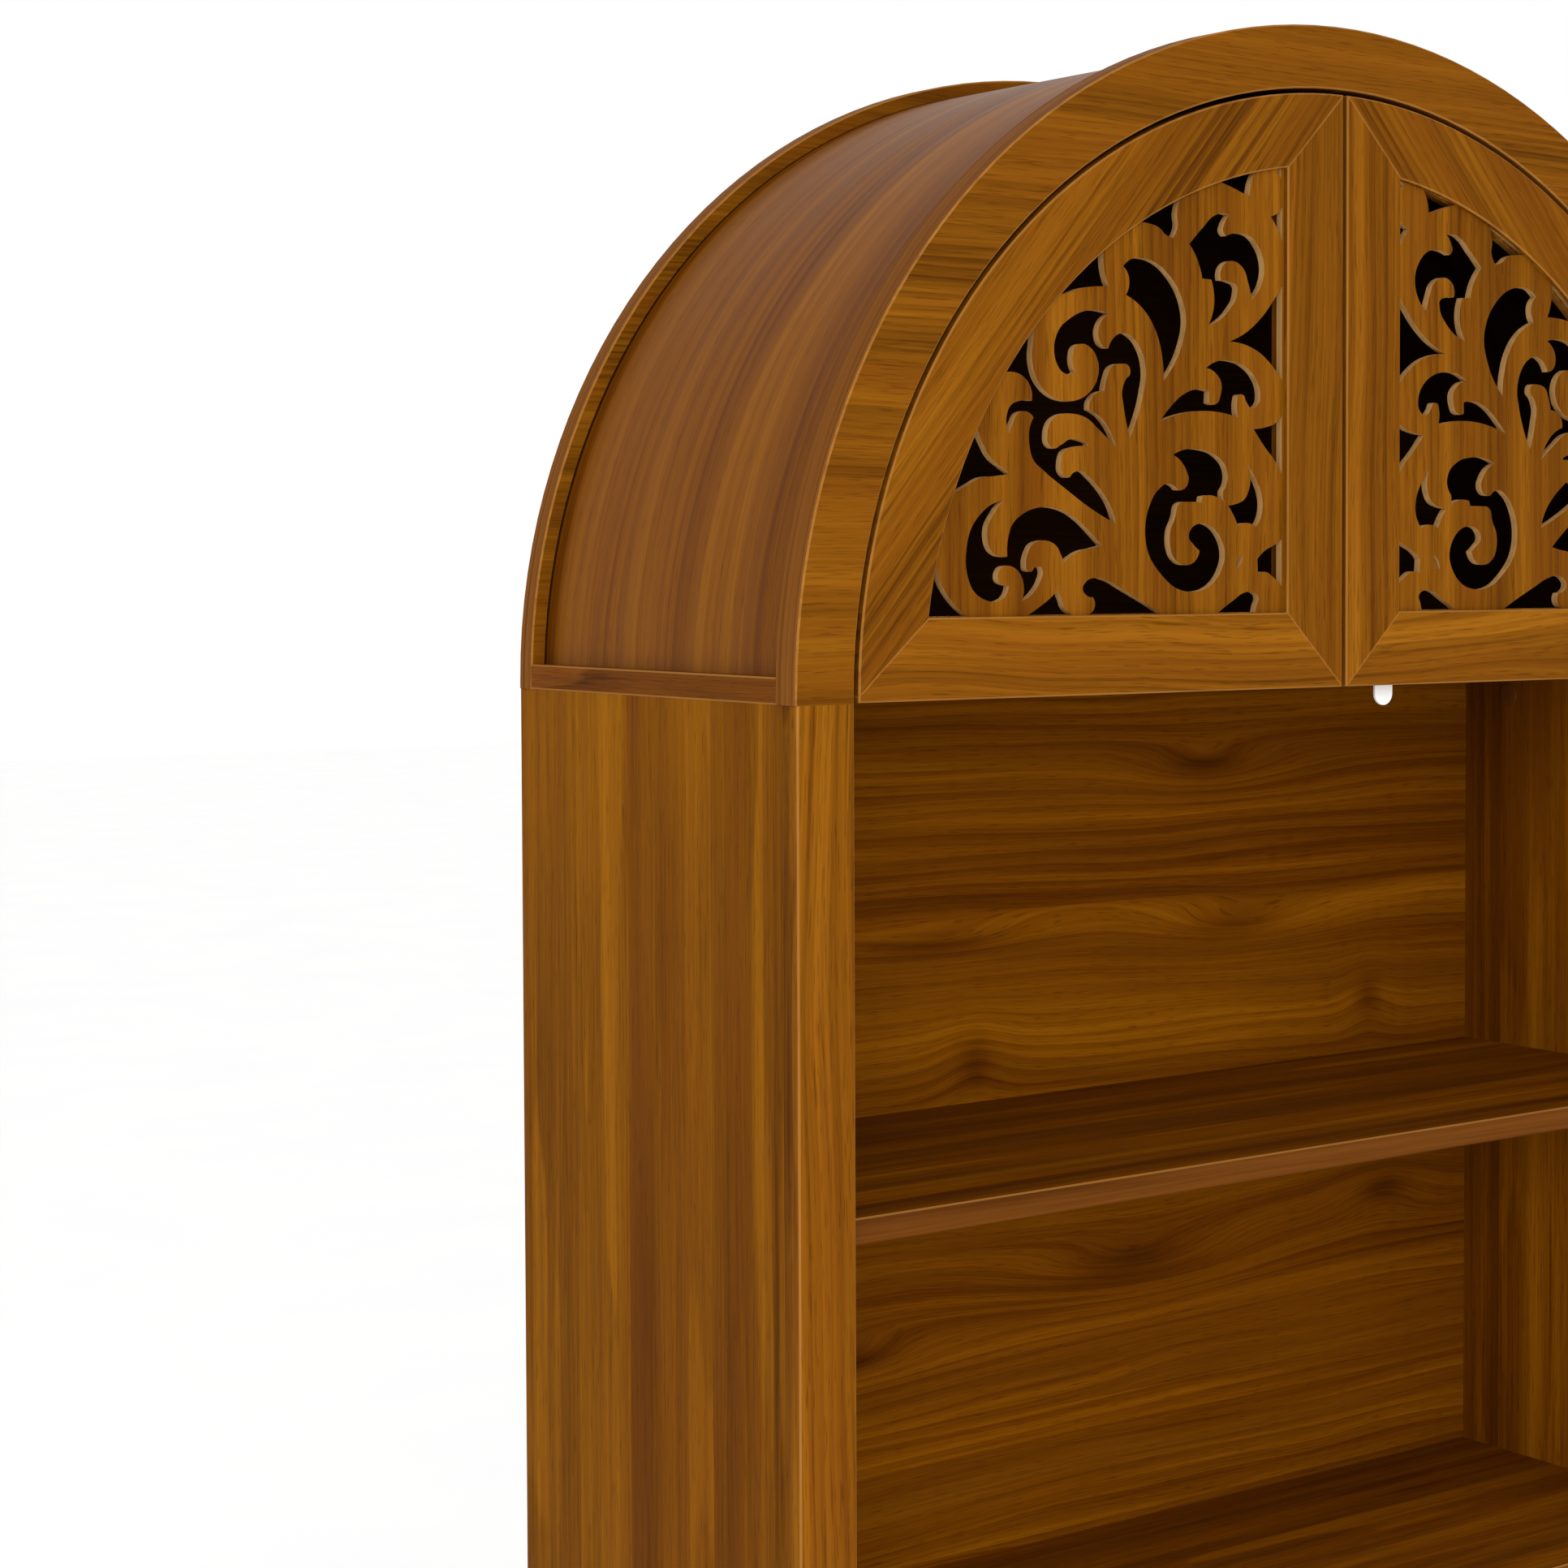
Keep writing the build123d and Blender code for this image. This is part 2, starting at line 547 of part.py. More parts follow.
def is_mitre(edge):
    """True for an edge that starts or ends at a mitre's inner end and runs to the frame's outside."""
    ends = [edge @ 0, edge @ 1]
    inner_ends = [Vector(inner[0], ends[0].Y, inner[1] + DOOR_Z) for inner, outer in MITRES]
    touching = [place for place in inner_ends for end in ends if (end - place).length < 0.01]
    return len(touching) == 1


with BuildPart() as left_bottom_rail:
    with BuildSketch(door_plane(DOOR)):
        with BuildLine():
            Line(OUTER_FOOT, (-DOOR_RADIUS, 0))
            Line((-DOOR_RADIUS, 0), LOWER_CORNER)
            Line(LOWER_CORNER, LOWER_MITRE)
            Line(LOWER_MITRE, OUTER_MITRE)
            Line(OUTER_MITRE, OUTER_FOOT)
        make_face()
    extrude(amount=DOOR)
    chamfer(free_front_edges(left_bottom_rail), EASE)
    cut_rebate()
    mitre_keys(FIT, mode=Mode.SUBTRACT)

with BuildPart() as left_meeting_stile:
    with BuildSketch(door_plane(DOOR)):
        with BuildLine():
            Line(LOWER_CORNER, UPPER_CORNER)
            Line(UPPER_CORNER, UPPER_MITRE)
            Line(UPPER_MITRE, LOWER_MITRE)
            Line(LOWER_MITRE, LOWER_CORNER)
        make_face()
    extrude(amount=DOOR)
    chamfer(free_front_edges(left_meeting_stile), EASE)
    cut_rebate()
    mitre_keys(FIT, mode=Mode.SUBTRACT)

with BuildPart() as left_arch_rail:
    with BuildSketch(door_plane(DOOR)):
        with BuildLine():
            Line(OUTER_MITRE, OUTER_FOOT)
            ThreePointArc(OUTER_FOOT, on_circle(DOOR_RADIUS, 0.5), UPPER_CORNER)
            Line(UPPER_CORNER, UPPER_MITRE)
            ThreePointArc(UPPER_MITRE, on_circle(RAIL_INNER, 0.5), OUTER_MITRE)
        make_face()
    extrude(amount=DOOR)
    chamfer(free_front_edges(left_arch_rail), EASE)
    cut_rebate()
    mitre_keys(FIT, mode=Mode.SUBTRACT)

with BuildPart() as left_mitre_keys:
    mitre_keys(0)

with BuildPart() as left_panel_beads:
    with BuildSketch(door_plane(LIP + PANEL + BEAD)):
        panel_face(REBATE - FIT)
        panel_face(0, mode=Mode.SUBTRACT)
        # Saw kerfs where the three beads meet
        for inner, outer in MITRES:
            with Locations(inner):
                Rectangle(4 * BEAD, FIT, rotation=mitre_turn(inner, outer), mode=Mode.SUBTRACT)
    extrude(amount=BEAD)

# --- Fretwork ------------------------------------------------------------------------------------
# Scrolls, curls and leaves sawn through the panel. Every opening is a ring of strokes that meet at cusps.
# They are drawn for a panel of the sizes below, and stretch with the door's opening.

DRAWN_RADIUS = 315
DRAWN_RISE = 3.5                  # height of the drawn curve's centre
DRAWN_SIDE = 47
DRAWN_FOOT = 46
STRETCH_X = (RAIL_INNER - STILE_INNER) / (DRAWN_RADIUS - DRAWN_SIDE)
STRETCH_Z = (CENTRE_Z + RAIL_INNER - RAIL) / (DRAWN_RISE + DRAWN_RADIUS - DRAWN_FOOT)
RIM_RADIUS = DRAWN_RADIUS + 1.5   # openings at the curved rail run on under its lip
RIM_LOW = DRAWN_FOOT + 0.6        # openings over the bottom rail stop here
RIM_SIDE = DRAWN_SIDE + 1.5       # openings beside the meeting stile stop here
STRAIGHT = 0.8                    # degrees from its chord under which an arc is drawn as a line


def rim(height):
    """The point at a height on the curve where openings stop under the rail's lip."""
    return (-sqrt(RIM_RADIUS**2 - (height - DRAWN_RISE) ** 2), height)


def low(x):
    """The point at x on the line where openings stop over the bottom rail."""
    return (x, RIM_LOW)


def near(height):
    """The point at a height on the line where openings stop beside the meeting stile."""
    return (-RIM_SIDE, height)


def stretched(point):
    """A drawn point at its place in the door."""
    x, height = point
    return Vector(-STILE_INNER + (x + DRAWN_SIDE) * STRETCH_X, RAIL + (height - DRAWN_FOOT) * STRETCH_Z)


def mirrored(direction, chord):
    """The direction at an arc's other end, from the one at this end and the arc's chord."""
    along = chord.normalized()
    return along * (2 * along.dot(direction)) - direction


def directions(points):
    """A flowing stroke's direction at each point, that of the circle through the point and its neighbours."""
    inner = []
    for before, here, after in zip(points[:-2], points[1:-1], points[2:]):
        back = here - before
        ahead = after - here
        turning = back * (ahead.length / back.length) + ahead * (back.length / ahead.length)
        inner.append(turning.normalized())
    first = mirrored(inner[0], points[1] - points[0])
    last = mirrored(inner[-1], points[-1] - points[-2])
    return [first] + inner + [last]


def two_arcs(start, end, leaving, arriving):
    """A smooth step between two points in two arcs, as a router cuts it."""
    across = end - start
    bend = 2 - 2 * leaving.dot(arriving)
    lean = across.dot(leaving + arriving)
    reach = across.length**2 / (lean + sqrt(lean**2 + bend * across.length**2))
    near_start = start + leaving * reach
    near_end = end - arriving * reach
    middle = (near_start + near_end) * 0.5
    halves = ((start, middle, leaving), (middle, end, near_end - near_start))
    return [half_step(*half) for half in halves]


def half_step(start, end, leaving):
    """An arc that leaves its start in a given direction, or a line where it would be all but straight."""
    if leaving.get_angle(end - start) < STRAIGHT:
        return Line(start, end)
    return TangentArc(start, end, tangent=leaving)


def opening(*strokes):
    """One sawn opening: two points make a straight stroke, three an arc and more a flowing curve."""
    ring = []
    with BuildLine():
        for stroke in strokes:
            points = [stretched(point) for point in stroke]
            if len(points) == 2:
                ring.append(Line(*points))
            elif len(points) == 3:
                ring.append(ThreePointArc(*points))
            else:
                ways = directions(points)
                for step in zip(points[:-1], points[1:], ways[:-1], ways[1:]):
                    ring += two_arcs(*step)
    make_face(ring)


def corner_leaves():
    """The openings in the outer lower corner."""
    opening([rim(RIM_LOW), rim(61), rim(75.5)],
            [rim(75.5), (-304.5, 73.5), (-301.5, 65), (-296, 57), (-290, 51), low(-284)],
            [low(-284), rim(RIM_LOW)])
    opening([rim(155), (-276.5, 152), (-273, 144.5), (-267, 135.5), (-259, 130), (-253.5, 126.5)],
            [(-253.5, 126.5), (-262, 125.3), (-274, 124.2), (-283, 120), rim(113)],
            [rim(113), rim(134), rim(155)])
    opening([low(-241), (-234, 50.5), (-226, 55.5), (-219.5, 61)],
            [(-219.5, 61), (-216.5, 55), (-214.5, 50.5), low(-209)],
            [low(-209), low(-241)])
    opening([low(-197.5), (-192.5, 52), (-194, 56.5)],
            [(-194, 56.5), (-198.5, 57.5), (-201.5, 61.5), (-199, 65.5), (-192, 67.8), (-184, 66.3),
             (-170, 60), (-155, 52.8), low(-143)],
            [low(-143), low(-197.5)])


def crescent_and_leaf():
    """The crescent that curls round a small leaf and opens into a large one."""
    opening([(-258.5, 111.5), (-266, 109.5), (-274, 104), (-280.5, 96), (-284, 84), (-283.5, 70),
             (-279, 60.5), (-271, 55.5), (-263, 54.5), (-256.5, 58), (-254.5, 63.5)],
            [(-254.5, 63.5), (-258, 64), (-261.5, 66), (-262, 70), (-259.5, 73.8), (-255, 74.8),
             (-250, 73.3), (-246, 69.5), (-244, 64), (-244, 59), (-245.5, 55)],
            [(-245.5, 55), (-241, 56.5), (-236, 60.5), (-232, 66), (-230.5, 72), (-231.5, 74)],
            [(-231.5, 74), (-236, 73.8), (-238.5, 71.5), (-241.5, 72), (-242.5, 76), (-241, 82),
             (-237.5, 87), (-233, 88.8), (-225, 88.5), (-220.5, 86), (-217.5, 81.5), (-215, 76.5)],
            [(-215, 76.5), (-209.5, 80.3), (-203, 83.3), (-195, 84.7), (-187.5, 86.5)],
            [(-187.5, 86.5), (-195, 93.3), (-204, 100.5), (-214, 105.8), (-224, 108), (-234, 107.8),
             (-244, 104.5), (-252, 98), (-255, 90), (-255.5, 80)],
            [(-255.5, 80), (-261, 80), (-266.5, 83), (-269.5, 90), (-269, 97), (-265, 104), (-258.5, 111.5)])


def outer_scroll():
    """The outer scroll: hook, daggers and spiral in one long opening."""
    opening([(-254, 149.5), (-251.5, 155.5), (-248, 161), (-242, 162.3), (-236.8, 159)],
            [(-236.8, 159), (-239.5, 153.5), (-240, 145), (-237, 135), (-229, 128.5), (-215, 119.5),
             (-195, 107.5), (-177, 99)],
            [(-177, 99), (-181, 109.5), (-188, 118.5), (-196, 125.5), (-202, 129.3), (-207.5, 128.5),
             (-212.5, 125.3), (-216, 127.5), (-217, 134), (-214.5, 140.3), (-208, 142.8), (-197.5, 143.5)],
            [(-197.5, 143.5), (-197.5, 145)],
            [(-197.5, 145), (-204, 147), (-211, 147.2), (-217, 144), (-222.5, 141.8), (-226, 144),
             (-227, 150), (-224.5, 157), (-218, 161.2), (-209, 162), (-199, 160), (-189, 153), (-177, 143.5)],
            [(-177, 143.5), (-182, 154), (-189, 161), (-196.5, 164.5)],
            [(-196.5, 164.5), (-196, 169.5), (-192.5, 173.5), (-185.5, 175.8)],
            [(-185.5, 175.8), (-183.8, 183), (-180, 190), (-173, 192), (-167.5, 191), (-166.3, 187),
             (-170, 182.5), (-172.2, 177), (-171, 166), (-166.5, 149.5)],
            [(-166.5, 149.5), (-161, 161), (-156.5, 175), (-154.5, 188), (-157.5, 199.5), (-164, 207.3),
             (-171, 210), (-178, 207.3), (-182.5, 200.5)],
            [(-182.5, 200.5), (-187, 202), (-190, 208.5), (-188.5, 214.5), (-182, 220.5)],
            [(-182, 220.5), (-190, 222), (-200, 221.2), (-210, 216.8), (-218.5, 209.8), (-222, 200),
             (-220.5, 191), (-215.5, 185.3), (-210, 184.5), (-206.5, 186)],
            [(-206.5, 186), (-208.8, 194), (-206.5, 200.5), (-201, 202.3), (-194.5, 199.5), (-190, 192),
             (-190.5, 183), (-196.5, 174.5), (-206, 169.8), (-217, 169.3), (-227.5, 173.5), (-234.5, 181),
             (-237.8, 192), (-237, 203), rim(214.5)],
            [rim(214.5), rim(198), rim(182.3)],
            [rim(182.3), (-251, 184.3), (-244, 182), (-239, 176.5), (-238, 168.5)],
            [(-238, 168.5), (-246, 168.3), (-252.5, 165.8), (-256, 158.5), (-254, 149.5)])


def crown_leaves():
    """The openings under the curved rail, from the outer scroll to the crown."""
    opening([rim(229), rim(245), rim(260)],
            [rim(260), (-185.8, 247), (-182, 236)],
            [(-182, 236), (-192, 235.7), (-203, 234), (-212, 231), rim(229)])
    opening([(-171.5, 248.5), (-166, 252.8), (-157, 254), (-146, 251.5), (-135, 243.5), (-127, 232),
             (-124, 219), (-127.5, 204), (-141, 183.5)],
            [(-141, 183.5), (-142, 196), (-146.5, 211), (-156, 224), (-169.5, 232)],
            [(-169.5, 232), (-167, 238.5), (-168, 244.5), (-171.5, 248.5)])
    opening([rim(293.5), (-131, 282), (-130.5, 274), (-134, 267.3)],
            [(-134, 267.3), (-139, 268.5), (-144.5, 272.5), (-152, 274.5), rim(274.5)],
            [rim(274.5), rim(284.5), rim(293.5)])
    opening([rim(312.5), (-73.3, 303.5), (-74.5, 296.3)],
            [(-74.5, 296.3), (-80, 297.5), (-87, 299.8), rim(303.5)],
            [rim(303.5), rim(308.5), rim(312.5)])
    opening([(-53, 311.5), (-49.5, 314.5)], [(-49.5, 314.5), (-49.5, 308.5)], [(-49.5, 308.5), (-53, 311.5)])


def crown_scroll():
    """The scroll below the crown, with its curls and pointed leaves."""
    opening([(-121.5, 264.5), (-112, 274), (-103, 282), (-98, 284), (-90.5, 283.5)],
            [(-90.5, 283.5), (-94, 279), (-95.3, 273.5), (-93, 271)],
            [(-93, 271), (-83, 273.5), (-74, 272), (-66.5, 265), (-62.7, 254.5), (-65, 243.5), (-72.5, 234.5)],
            [(-72.5, 234.5), (-75.3, 243.5), (-79.5, 252.5), (-86, 256.2), (-92.5, 255.5), (-97, 250.5),
             (-97, 244.5)],
            [(-97, 244.5), (-90, 244), (-84.5, 241.5), (-84.5, 236.5), (-91, 226.5), (-98.5, 220.5),
             (-107, 217)],
            [(-107, 217), (-103, 226), (-102.3, 236), (-104.5, 244.5)],
            [(-104.5, 244.5), (-111.5, 244.7)],
            [(-111.5, 244.7), (-114.5, 254), (-121.5, 264.5)])


def stile_leaves():
    """The leaves that end beside the meeting stile."""
    opening([(-57.5, 285), (-52, 287.5), near(290.8)], [near(290.8), near(271)],
            [near(271), (-53, 279), (-57.5, 285)])
    opening([(-90, 208.5), (-77, 214.5), (-65, 223.8), (-55, 235), near(243.5)],
            [near(243.5), near(187)],
            [near(187), (-56, 195), (-66, 202.5), (-77, 206.8), (-90, 208.5)])
    opening([(-71, 156.7), (-62, 158), (-54, 160.5), near(165)], [near(165), near(130)],
            [near(130), (-54, 138), (-62, 146), (-71, 156.7)])
    opening([(-68, 78.5), (-61.5, 84), (-55, 86.8), near(90.5)], [near(90.5), near(62)],
            [near(62), (-55, 67.5), (-61.5, 70.8), (-67.5, 69.8)], [(-67.5, 69.8), (-68, 78.5)])


def bird():
    """The long leaf with two curled lobes in the middle of the panel."""
    opening([(-108.5, 192), (-100, 196.3), (-90, 197), (-79.5, 194.8), (-70.5, 188.5), (-66, 179.5),
             (-67.3, 171.8), (-73, 169.3), (-77, 173), (-79.5, 177), (-83.3, 176.5)],
            [(-83.3, 176.5), (-84.5, 170), (-83.5, 163.3)],
            [(-83.5, 163.3), (-95, 165.7), (-110, 166.5), (-127, 164.5), (-144, 159.3)],
            [(-144, 159.3), (-135.5, 168.5), (-126, 175.8), (-117, 179), (-106, 178.3)],
            [(-106, 178.3), (-106.2, 171.3)],
            [(-106.2, 171.3), (-100, 171.3), (-97.3, 176), (-96.8, 184), (-100.5, 188.8), (-108.5, 192)])


def inner_scroll():
    """The great spiral beside the meeting stile and the leaves that spring from it."""
    opening([(-134, 140), (-125, 143.3), (-113, 143.5), (-101, 140.5), (-93, 133.5), (-91.5, 126.5), (-95, 119.5)],
            [(-95, 119.5), (-95.3, 115.7), (-93.6, 112)],
            [(-93.6, 112), (-98.5, 115), (-104.5, 116.5), (-111.3, 115.7)],
            [(-111.3, 115.7), (-112.3, 111.8)],
            [(-112.3, 111.8), (-121, 112.5), (-129.5, 111), (-132.3, 103), (-136, 95), (-136.3, 87),
             (-132.5, 78.5), (-125, 75), (-117.5, 77), (-113.5, 83.5)],
            [(-113.5, 83.5), (-118, 87), (-121.8, 91.5), (-119.5, 97), (-113, 99.7), (-105, 98.2), (-97, 91),
             (-93.8, 81), (-97, 71), (-105.5, 62.5), (-118, 59.2), (-131, 61.2), (-143.5, 70), (-152.5, 81.5),
             (-155.2, 96), (-152, 109.5), (-145.5, 119), (-137.5, 123), (-130.5, 119.5)],
            [(-130.5, 119.5), (-125.5, 120), (-122, 125), (-124, 131.5), (-134, 140)])
    opening([(-75.5, 134.5), (-69, 126.5), (-64.5, 117), (-64, 107.5), (-69, 98)],
            [(-69, 98), (-76.5, 100.3), (-83.5, 98.3)],
            [(-83.5, 98.3), (-87, 105), (-91.2, 110.6)],
            [(-91.2, 110.6), (-85, 111.6), (-78, 114.8), (-74.7, 120.5), (-75.5, 134.5)])
    opening([low(-99), (-88, 53.3), (-78, 58.5), (-71, 58.8), (-67, 55.5), (-68.5, 50.5), low(-69.5)],
            [low(-69.5), low(-99)])
    opening([(-79.8, 81), (-80.5, 77), (-85, 72.5)], [(-85, 72.5), (-84, 77.5), (-79.8, 81)])


with BuildPart() as left_fret_panel:
    with BuildSketch(door_plane(LIP + PANEL)):
        panel_face(REBATE - FIT)
    extrude(amount=PANEL)
    with BuildSketch(door_plane(LIP + PANEL)):
        corner_leaves()
        crescent_and_leaf()
        outer_scroll()
        crown_leaves()
        crown_scroll()
        stile_leaves()
        bird()
        inner_scroll()
    extrude(amount=PANEL, mode=Mode.SUBTRACT)

# --- Catch, bumpers and pull ---------------------------------------------------------------------

STRIKE = 1
STRIKE_X = (-20, -4)
STRIKE_Z = (FLOOR_TOP + 1, FLOOR_TOP + 13)
STRIKE_CORNER = 2
DOOR_REAR = FRONT + DOOR

with BuildPart() as left_strike_plate:
    block(STRIKE_X, (DOOR_REAR, DOOR_REAR + STRIKE), STRIKE_Z)
    corner_edges = left_strike_plate.edges().filter_by(Axis.Y)
    fillet(corner_edges, STRIKE_CORNER)

CATCH_X = 24
CATCH_TALL = 14
CATCH_DEEP = 15
MAGNET_X = (5, 19)
MAGNET_Z = (FLOOR_TOP + 2, FLOOR_TOP + 12)
MAGNET_GAP = 0.4                  # between a magnet and its strike plate
MAGNET_FRONT = DOOR_REAR + STRIKE + MAGNET_GAP
CATCH_FRONT = FRONT + ARCH_THICK
MAGNET_BACK = CATCH_FRONT + CATCH_DEEP / 2

with BuildPart() as magnetic_catch:
    block((-CATCH_X, CATCH_X), (CATCH_FRONT, CATCH_FRONT + CATCH_DEEP), (FLOOR_TOP, FLOOR_TOP + CATCH_TALL))
    top_edges = magnetic_catch.faces().sort_by(Axis.Z)[-1].edges()
    chamfer(top_edges, EASE)
    for side in (-1, 1):
        block((side * MAGNET_X[0], side * MAGNET_X[1]), (FRONT, MAGNET_BACK), MAGNET_Z, mode=Mode.SUBTRACT)

with BuildPart() as catch_magnets:
    for side in (-1, 1):
        block((side * MAGNET_X[0], side * MAGNET_X[1]), (MAGNET_FRONT, MAGNET_BACK), MAGNET_Z)

BUMPER_RADIUS = 4
BUMPER_GAP = 0.3
BUMPER_X = (80, RAIL_INNER - 65)

with BuildPart() as door_bumpers:
    for side in (-1, 1):
        for x in BUMPER_X:
            rod((side * x, DOOR_REAR + BUMPER_GAP, JOINT_Z + BOARD / 2), "+Y", BUMPER - BUMPER_GAP, BUMPER_RADIUS)

# A strip of plastic behind the right door's bottom rail that hangs below it as a finger pull
PULL_X = 50
PULL_WIDE = 15
PULL_THICK = 1.5
PULL_RISE = 15                    # how far it reaches up behind the rail
PULL_DROP = 13.4

with BuildPart() as finger_pull:
    with BuildSketch(door_plane(DOOR + PULL_THICK)):
        with Locations((PULL_X, PULL_RISE)):
            Rectangle(PULL_WIDE, PULL_RISE + PULL_DROP - PULL_WIDE / 2, align=(Align.CENTER, Align.MAX))
        with Locations((PULL_X, PULL_WIDE / 2 - PULL_DROP)):
            Circle(PULL_WIDE / 2)
    extrude(amount=PULL_THICK)

# --- Right door, the mirror image of the left ----------------------------------------------------

with BuildPart() as right_bottom_rail:
    mirror(left_bottom_rail.part, about=Plane.YZ)

with BuildPart() as right_meeting_stile:
    mirror(left_meeting_stile.part, about=Plane.YZ)

with BuildPart() as right_arch_rail:
    mirror(left_arch_rail.part, about=Plane.YZ)

with BuildPart() as right_mitre_keys:
    mirror(left_mitre_keys.part, about=Plane.YZ)

with BuildPart() as right_panel_beads:
    mirror(left_panel_beads.part, about=Plane.YZ)

with BuildPart() as right_fret_panel:
    mirror(left_fret_panel.part, about=Plane.YZ)

with BuildPart() as right_hinge_arms:
    mirror(left_hinge_arms.part, about=Plane.YZ)

with BuildPart() as right_strike_plate:
    mirror(left_strike_plate.part, about=Plane.YZ)

PIECES = {
    "front_arch": front_arch, "dome_back": dome_back, "left_vault_skin": left_vault_skin,
    "right_vault_skin": right_vault_skin, "dome_floor": dome_floor,
    "left_side_panel": left_side_panel, "right_side_panel": right_side_panel,
    "left_stile": left_stile, "right_stile": right_stile,
    "upper_shelf": upper_shelf, "middle_shelf": middle_shelf, "lower_shelf": lower_shelf,
    "bottom_panel": bottom_panel, "plinth_front": plinth_front, "plinth_back": plinth_back,
    "upper_back_panel": upper_back_panel, "lower_back_panel": lower_back_panel,
    "arch_dowels": arch_dowels, "floor_dowels": floor_dowels, "stile_dowels": stile_dowels,
    "shelf_dowels": shelf_dowels, "floor_bolts": floor_bolts, "floor_cams": floor_cams, "cam_caps": cam_caps,
    "shelf_bolts": shelf_bolts, "shelf_cams": shelf_cams, "floor_glides": floor_glides,
    "hinge_brackets": hinge_brackets, "hinge_pins": hinge_pins,
    "magnetic_catch": magnetic_catch, "catch_magnets": catch_magnets, "door_bumpers": door_bumpers,
    "finger_pull": finger_pull,
    "left_bottom_rail": left_bottom_rail, "right_bottom_rail": right_bottom_rail,
    "left_meeting_stile": left_meeting_stile, "right_meeting_stile": right_meeting_stile,
    "left_arch_rail": left_arch_rail, "right_arch_rail": right_arch_rail,
    "left_mitre_keys": left_mitre_keys, "right_mitre_keys": right_mitre_keys,
    "left_panel_beads": left_panel_beads, "right_panel_beads": right_panel_beads,
    "left_fret_panel": left_fret_panel, "right_fret_panel": right_fret_panel,
    "left_hinge_arms": left_hinge_arms, "right_hinge_arms": right_hinge_arms,
    "left_strike_plate": left_strike_plate, "right_strike_plate": right_strike_plate,
}

for name, piece in PIECES.items():
    piece.part.label = name
    export_step(piece.part, "parts/" + name + ".step")
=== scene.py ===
"""Looks of the arched fretwork cabinet: walnut-grained board, fittings, floor, light and camera."""
import json
import math
import bmesh
import bpy
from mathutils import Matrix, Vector


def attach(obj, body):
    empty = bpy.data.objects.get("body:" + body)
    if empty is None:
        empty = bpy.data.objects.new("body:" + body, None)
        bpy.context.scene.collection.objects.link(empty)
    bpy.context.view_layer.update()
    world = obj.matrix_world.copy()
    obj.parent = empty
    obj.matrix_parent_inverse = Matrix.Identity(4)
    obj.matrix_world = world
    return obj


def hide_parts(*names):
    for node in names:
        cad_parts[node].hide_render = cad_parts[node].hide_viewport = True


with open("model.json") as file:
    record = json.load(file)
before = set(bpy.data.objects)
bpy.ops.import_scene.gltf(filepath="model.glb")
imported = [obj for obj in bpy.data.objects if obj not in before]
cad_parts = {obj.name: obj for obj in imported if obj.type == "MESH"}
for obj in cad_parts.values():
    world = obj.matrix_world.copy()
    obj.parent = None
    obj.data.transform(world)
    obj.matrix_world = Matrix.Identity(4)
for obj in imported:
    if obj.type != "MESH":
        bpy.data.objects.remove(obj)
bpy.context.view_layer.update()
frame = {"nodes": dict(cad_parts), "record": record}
nodes = frame["nodes"]
slot_of = {part["node"]: part["material_slot"] for part in frame["record"]["subparts"]}

# Places on the cabinet, metres
ARCH_CENTRE_Z = 1.300
SKIN_RADIUS = 0.391
SKIN_THICKNESS = 0.005
DOME_FLOOR_TOP = 1.311
REAR_BOARD_FRONT = 0.140
DOOR_SILL = 1.2965
CAP_X, CAP_Z = 0.384, 1.2735                # inner face of a side panel, and the height of its cams
CAP_DEPTHS = (-0.095, 0.081)
SCREW_Y = -0.135                            # rear face of the hinge arms' pads
SCREW_COLUMNS = (0.3465, 0.3345)
ARM_HEIGHTS = (1.3175, 1.3445)
SHELF_CAM_X, SHELF_CAM_Y = 0.36, -0.095
SHELF_CAM_TOPS = (0.079, 0.388, 0.697, 1.006)
# Mitres of a door frame: inner end and outer end, across from the cabinet's middle and up from the doors' sill
MITRES = [((0.3121, 0.046), (0.359, 0.0035)), ((0.047, 0.046), (0.0015, 0.0)), ((0.047, 0.3150), (0.0015, 0.3625))]


def linear(text):
    """An sRGB hex colour as linear red, green, blue and alpha."""
    parts = [int(text[i:i + 2], 16) / 255 for i in (1, 3, 5)]
    return [c / 12.92 if c <= 0.04045 else ((c + 0.055) / 1.055) ** 2.4 for c in parts] + [1.0]


def put(tree, kind, values=(), out=0, stops=(), steps=False, **settings):
    """Adds a node with its settings and links, and gives the output asked for. values holds each input's number
    or the output that feeds it; stops are a ramp's places and their hex colours or greys, in steps or blended."""
    made = tree.nodes.new("ShaderNode" + kind)
    for key, value in settings.items():
        setattr(made, key, value)
    if stops:
        made.color_ramp.interpolation = "CONSTANT" if steps else "LINEAR"
        ramp = made.color_ramp.elements
        while len(ramp) < len(stops):
            ramp.new(1.0)
        for stop, (place, colour) in zip(ramp, stops):
            stop.position = place
            stop.color = linear(colour) if isinstance(colour, str) else (colour, colour, colour, 1.0)
    for key, value in dict(values).items():
        if isinstance(value, bpy.types.NodeSocket):
            tree.links.new(value, made.inputs[key])
        else:
            made.inputs[key].default_value = value
    return made.outputs[out] if made.outputs else None


def blank(name):
    """A new material and its empty node tree."""
    made = bpy.data.materials.new(name)
    made.use_nodes = True
    made.node_tree.nodes.clear()
    return made, made.node_tree


def surface(made, values):
    """Ends a material in its shader, which gets the numbers and outputs given, and gives the material."""
    shader = put(made.node_tree, "BsdfPrincipled", values)
    put(made.node_tree, "OutputMaterial", {0: shader})
    return made


# --- Walnut-grained board --------------------------------------------------------------------------

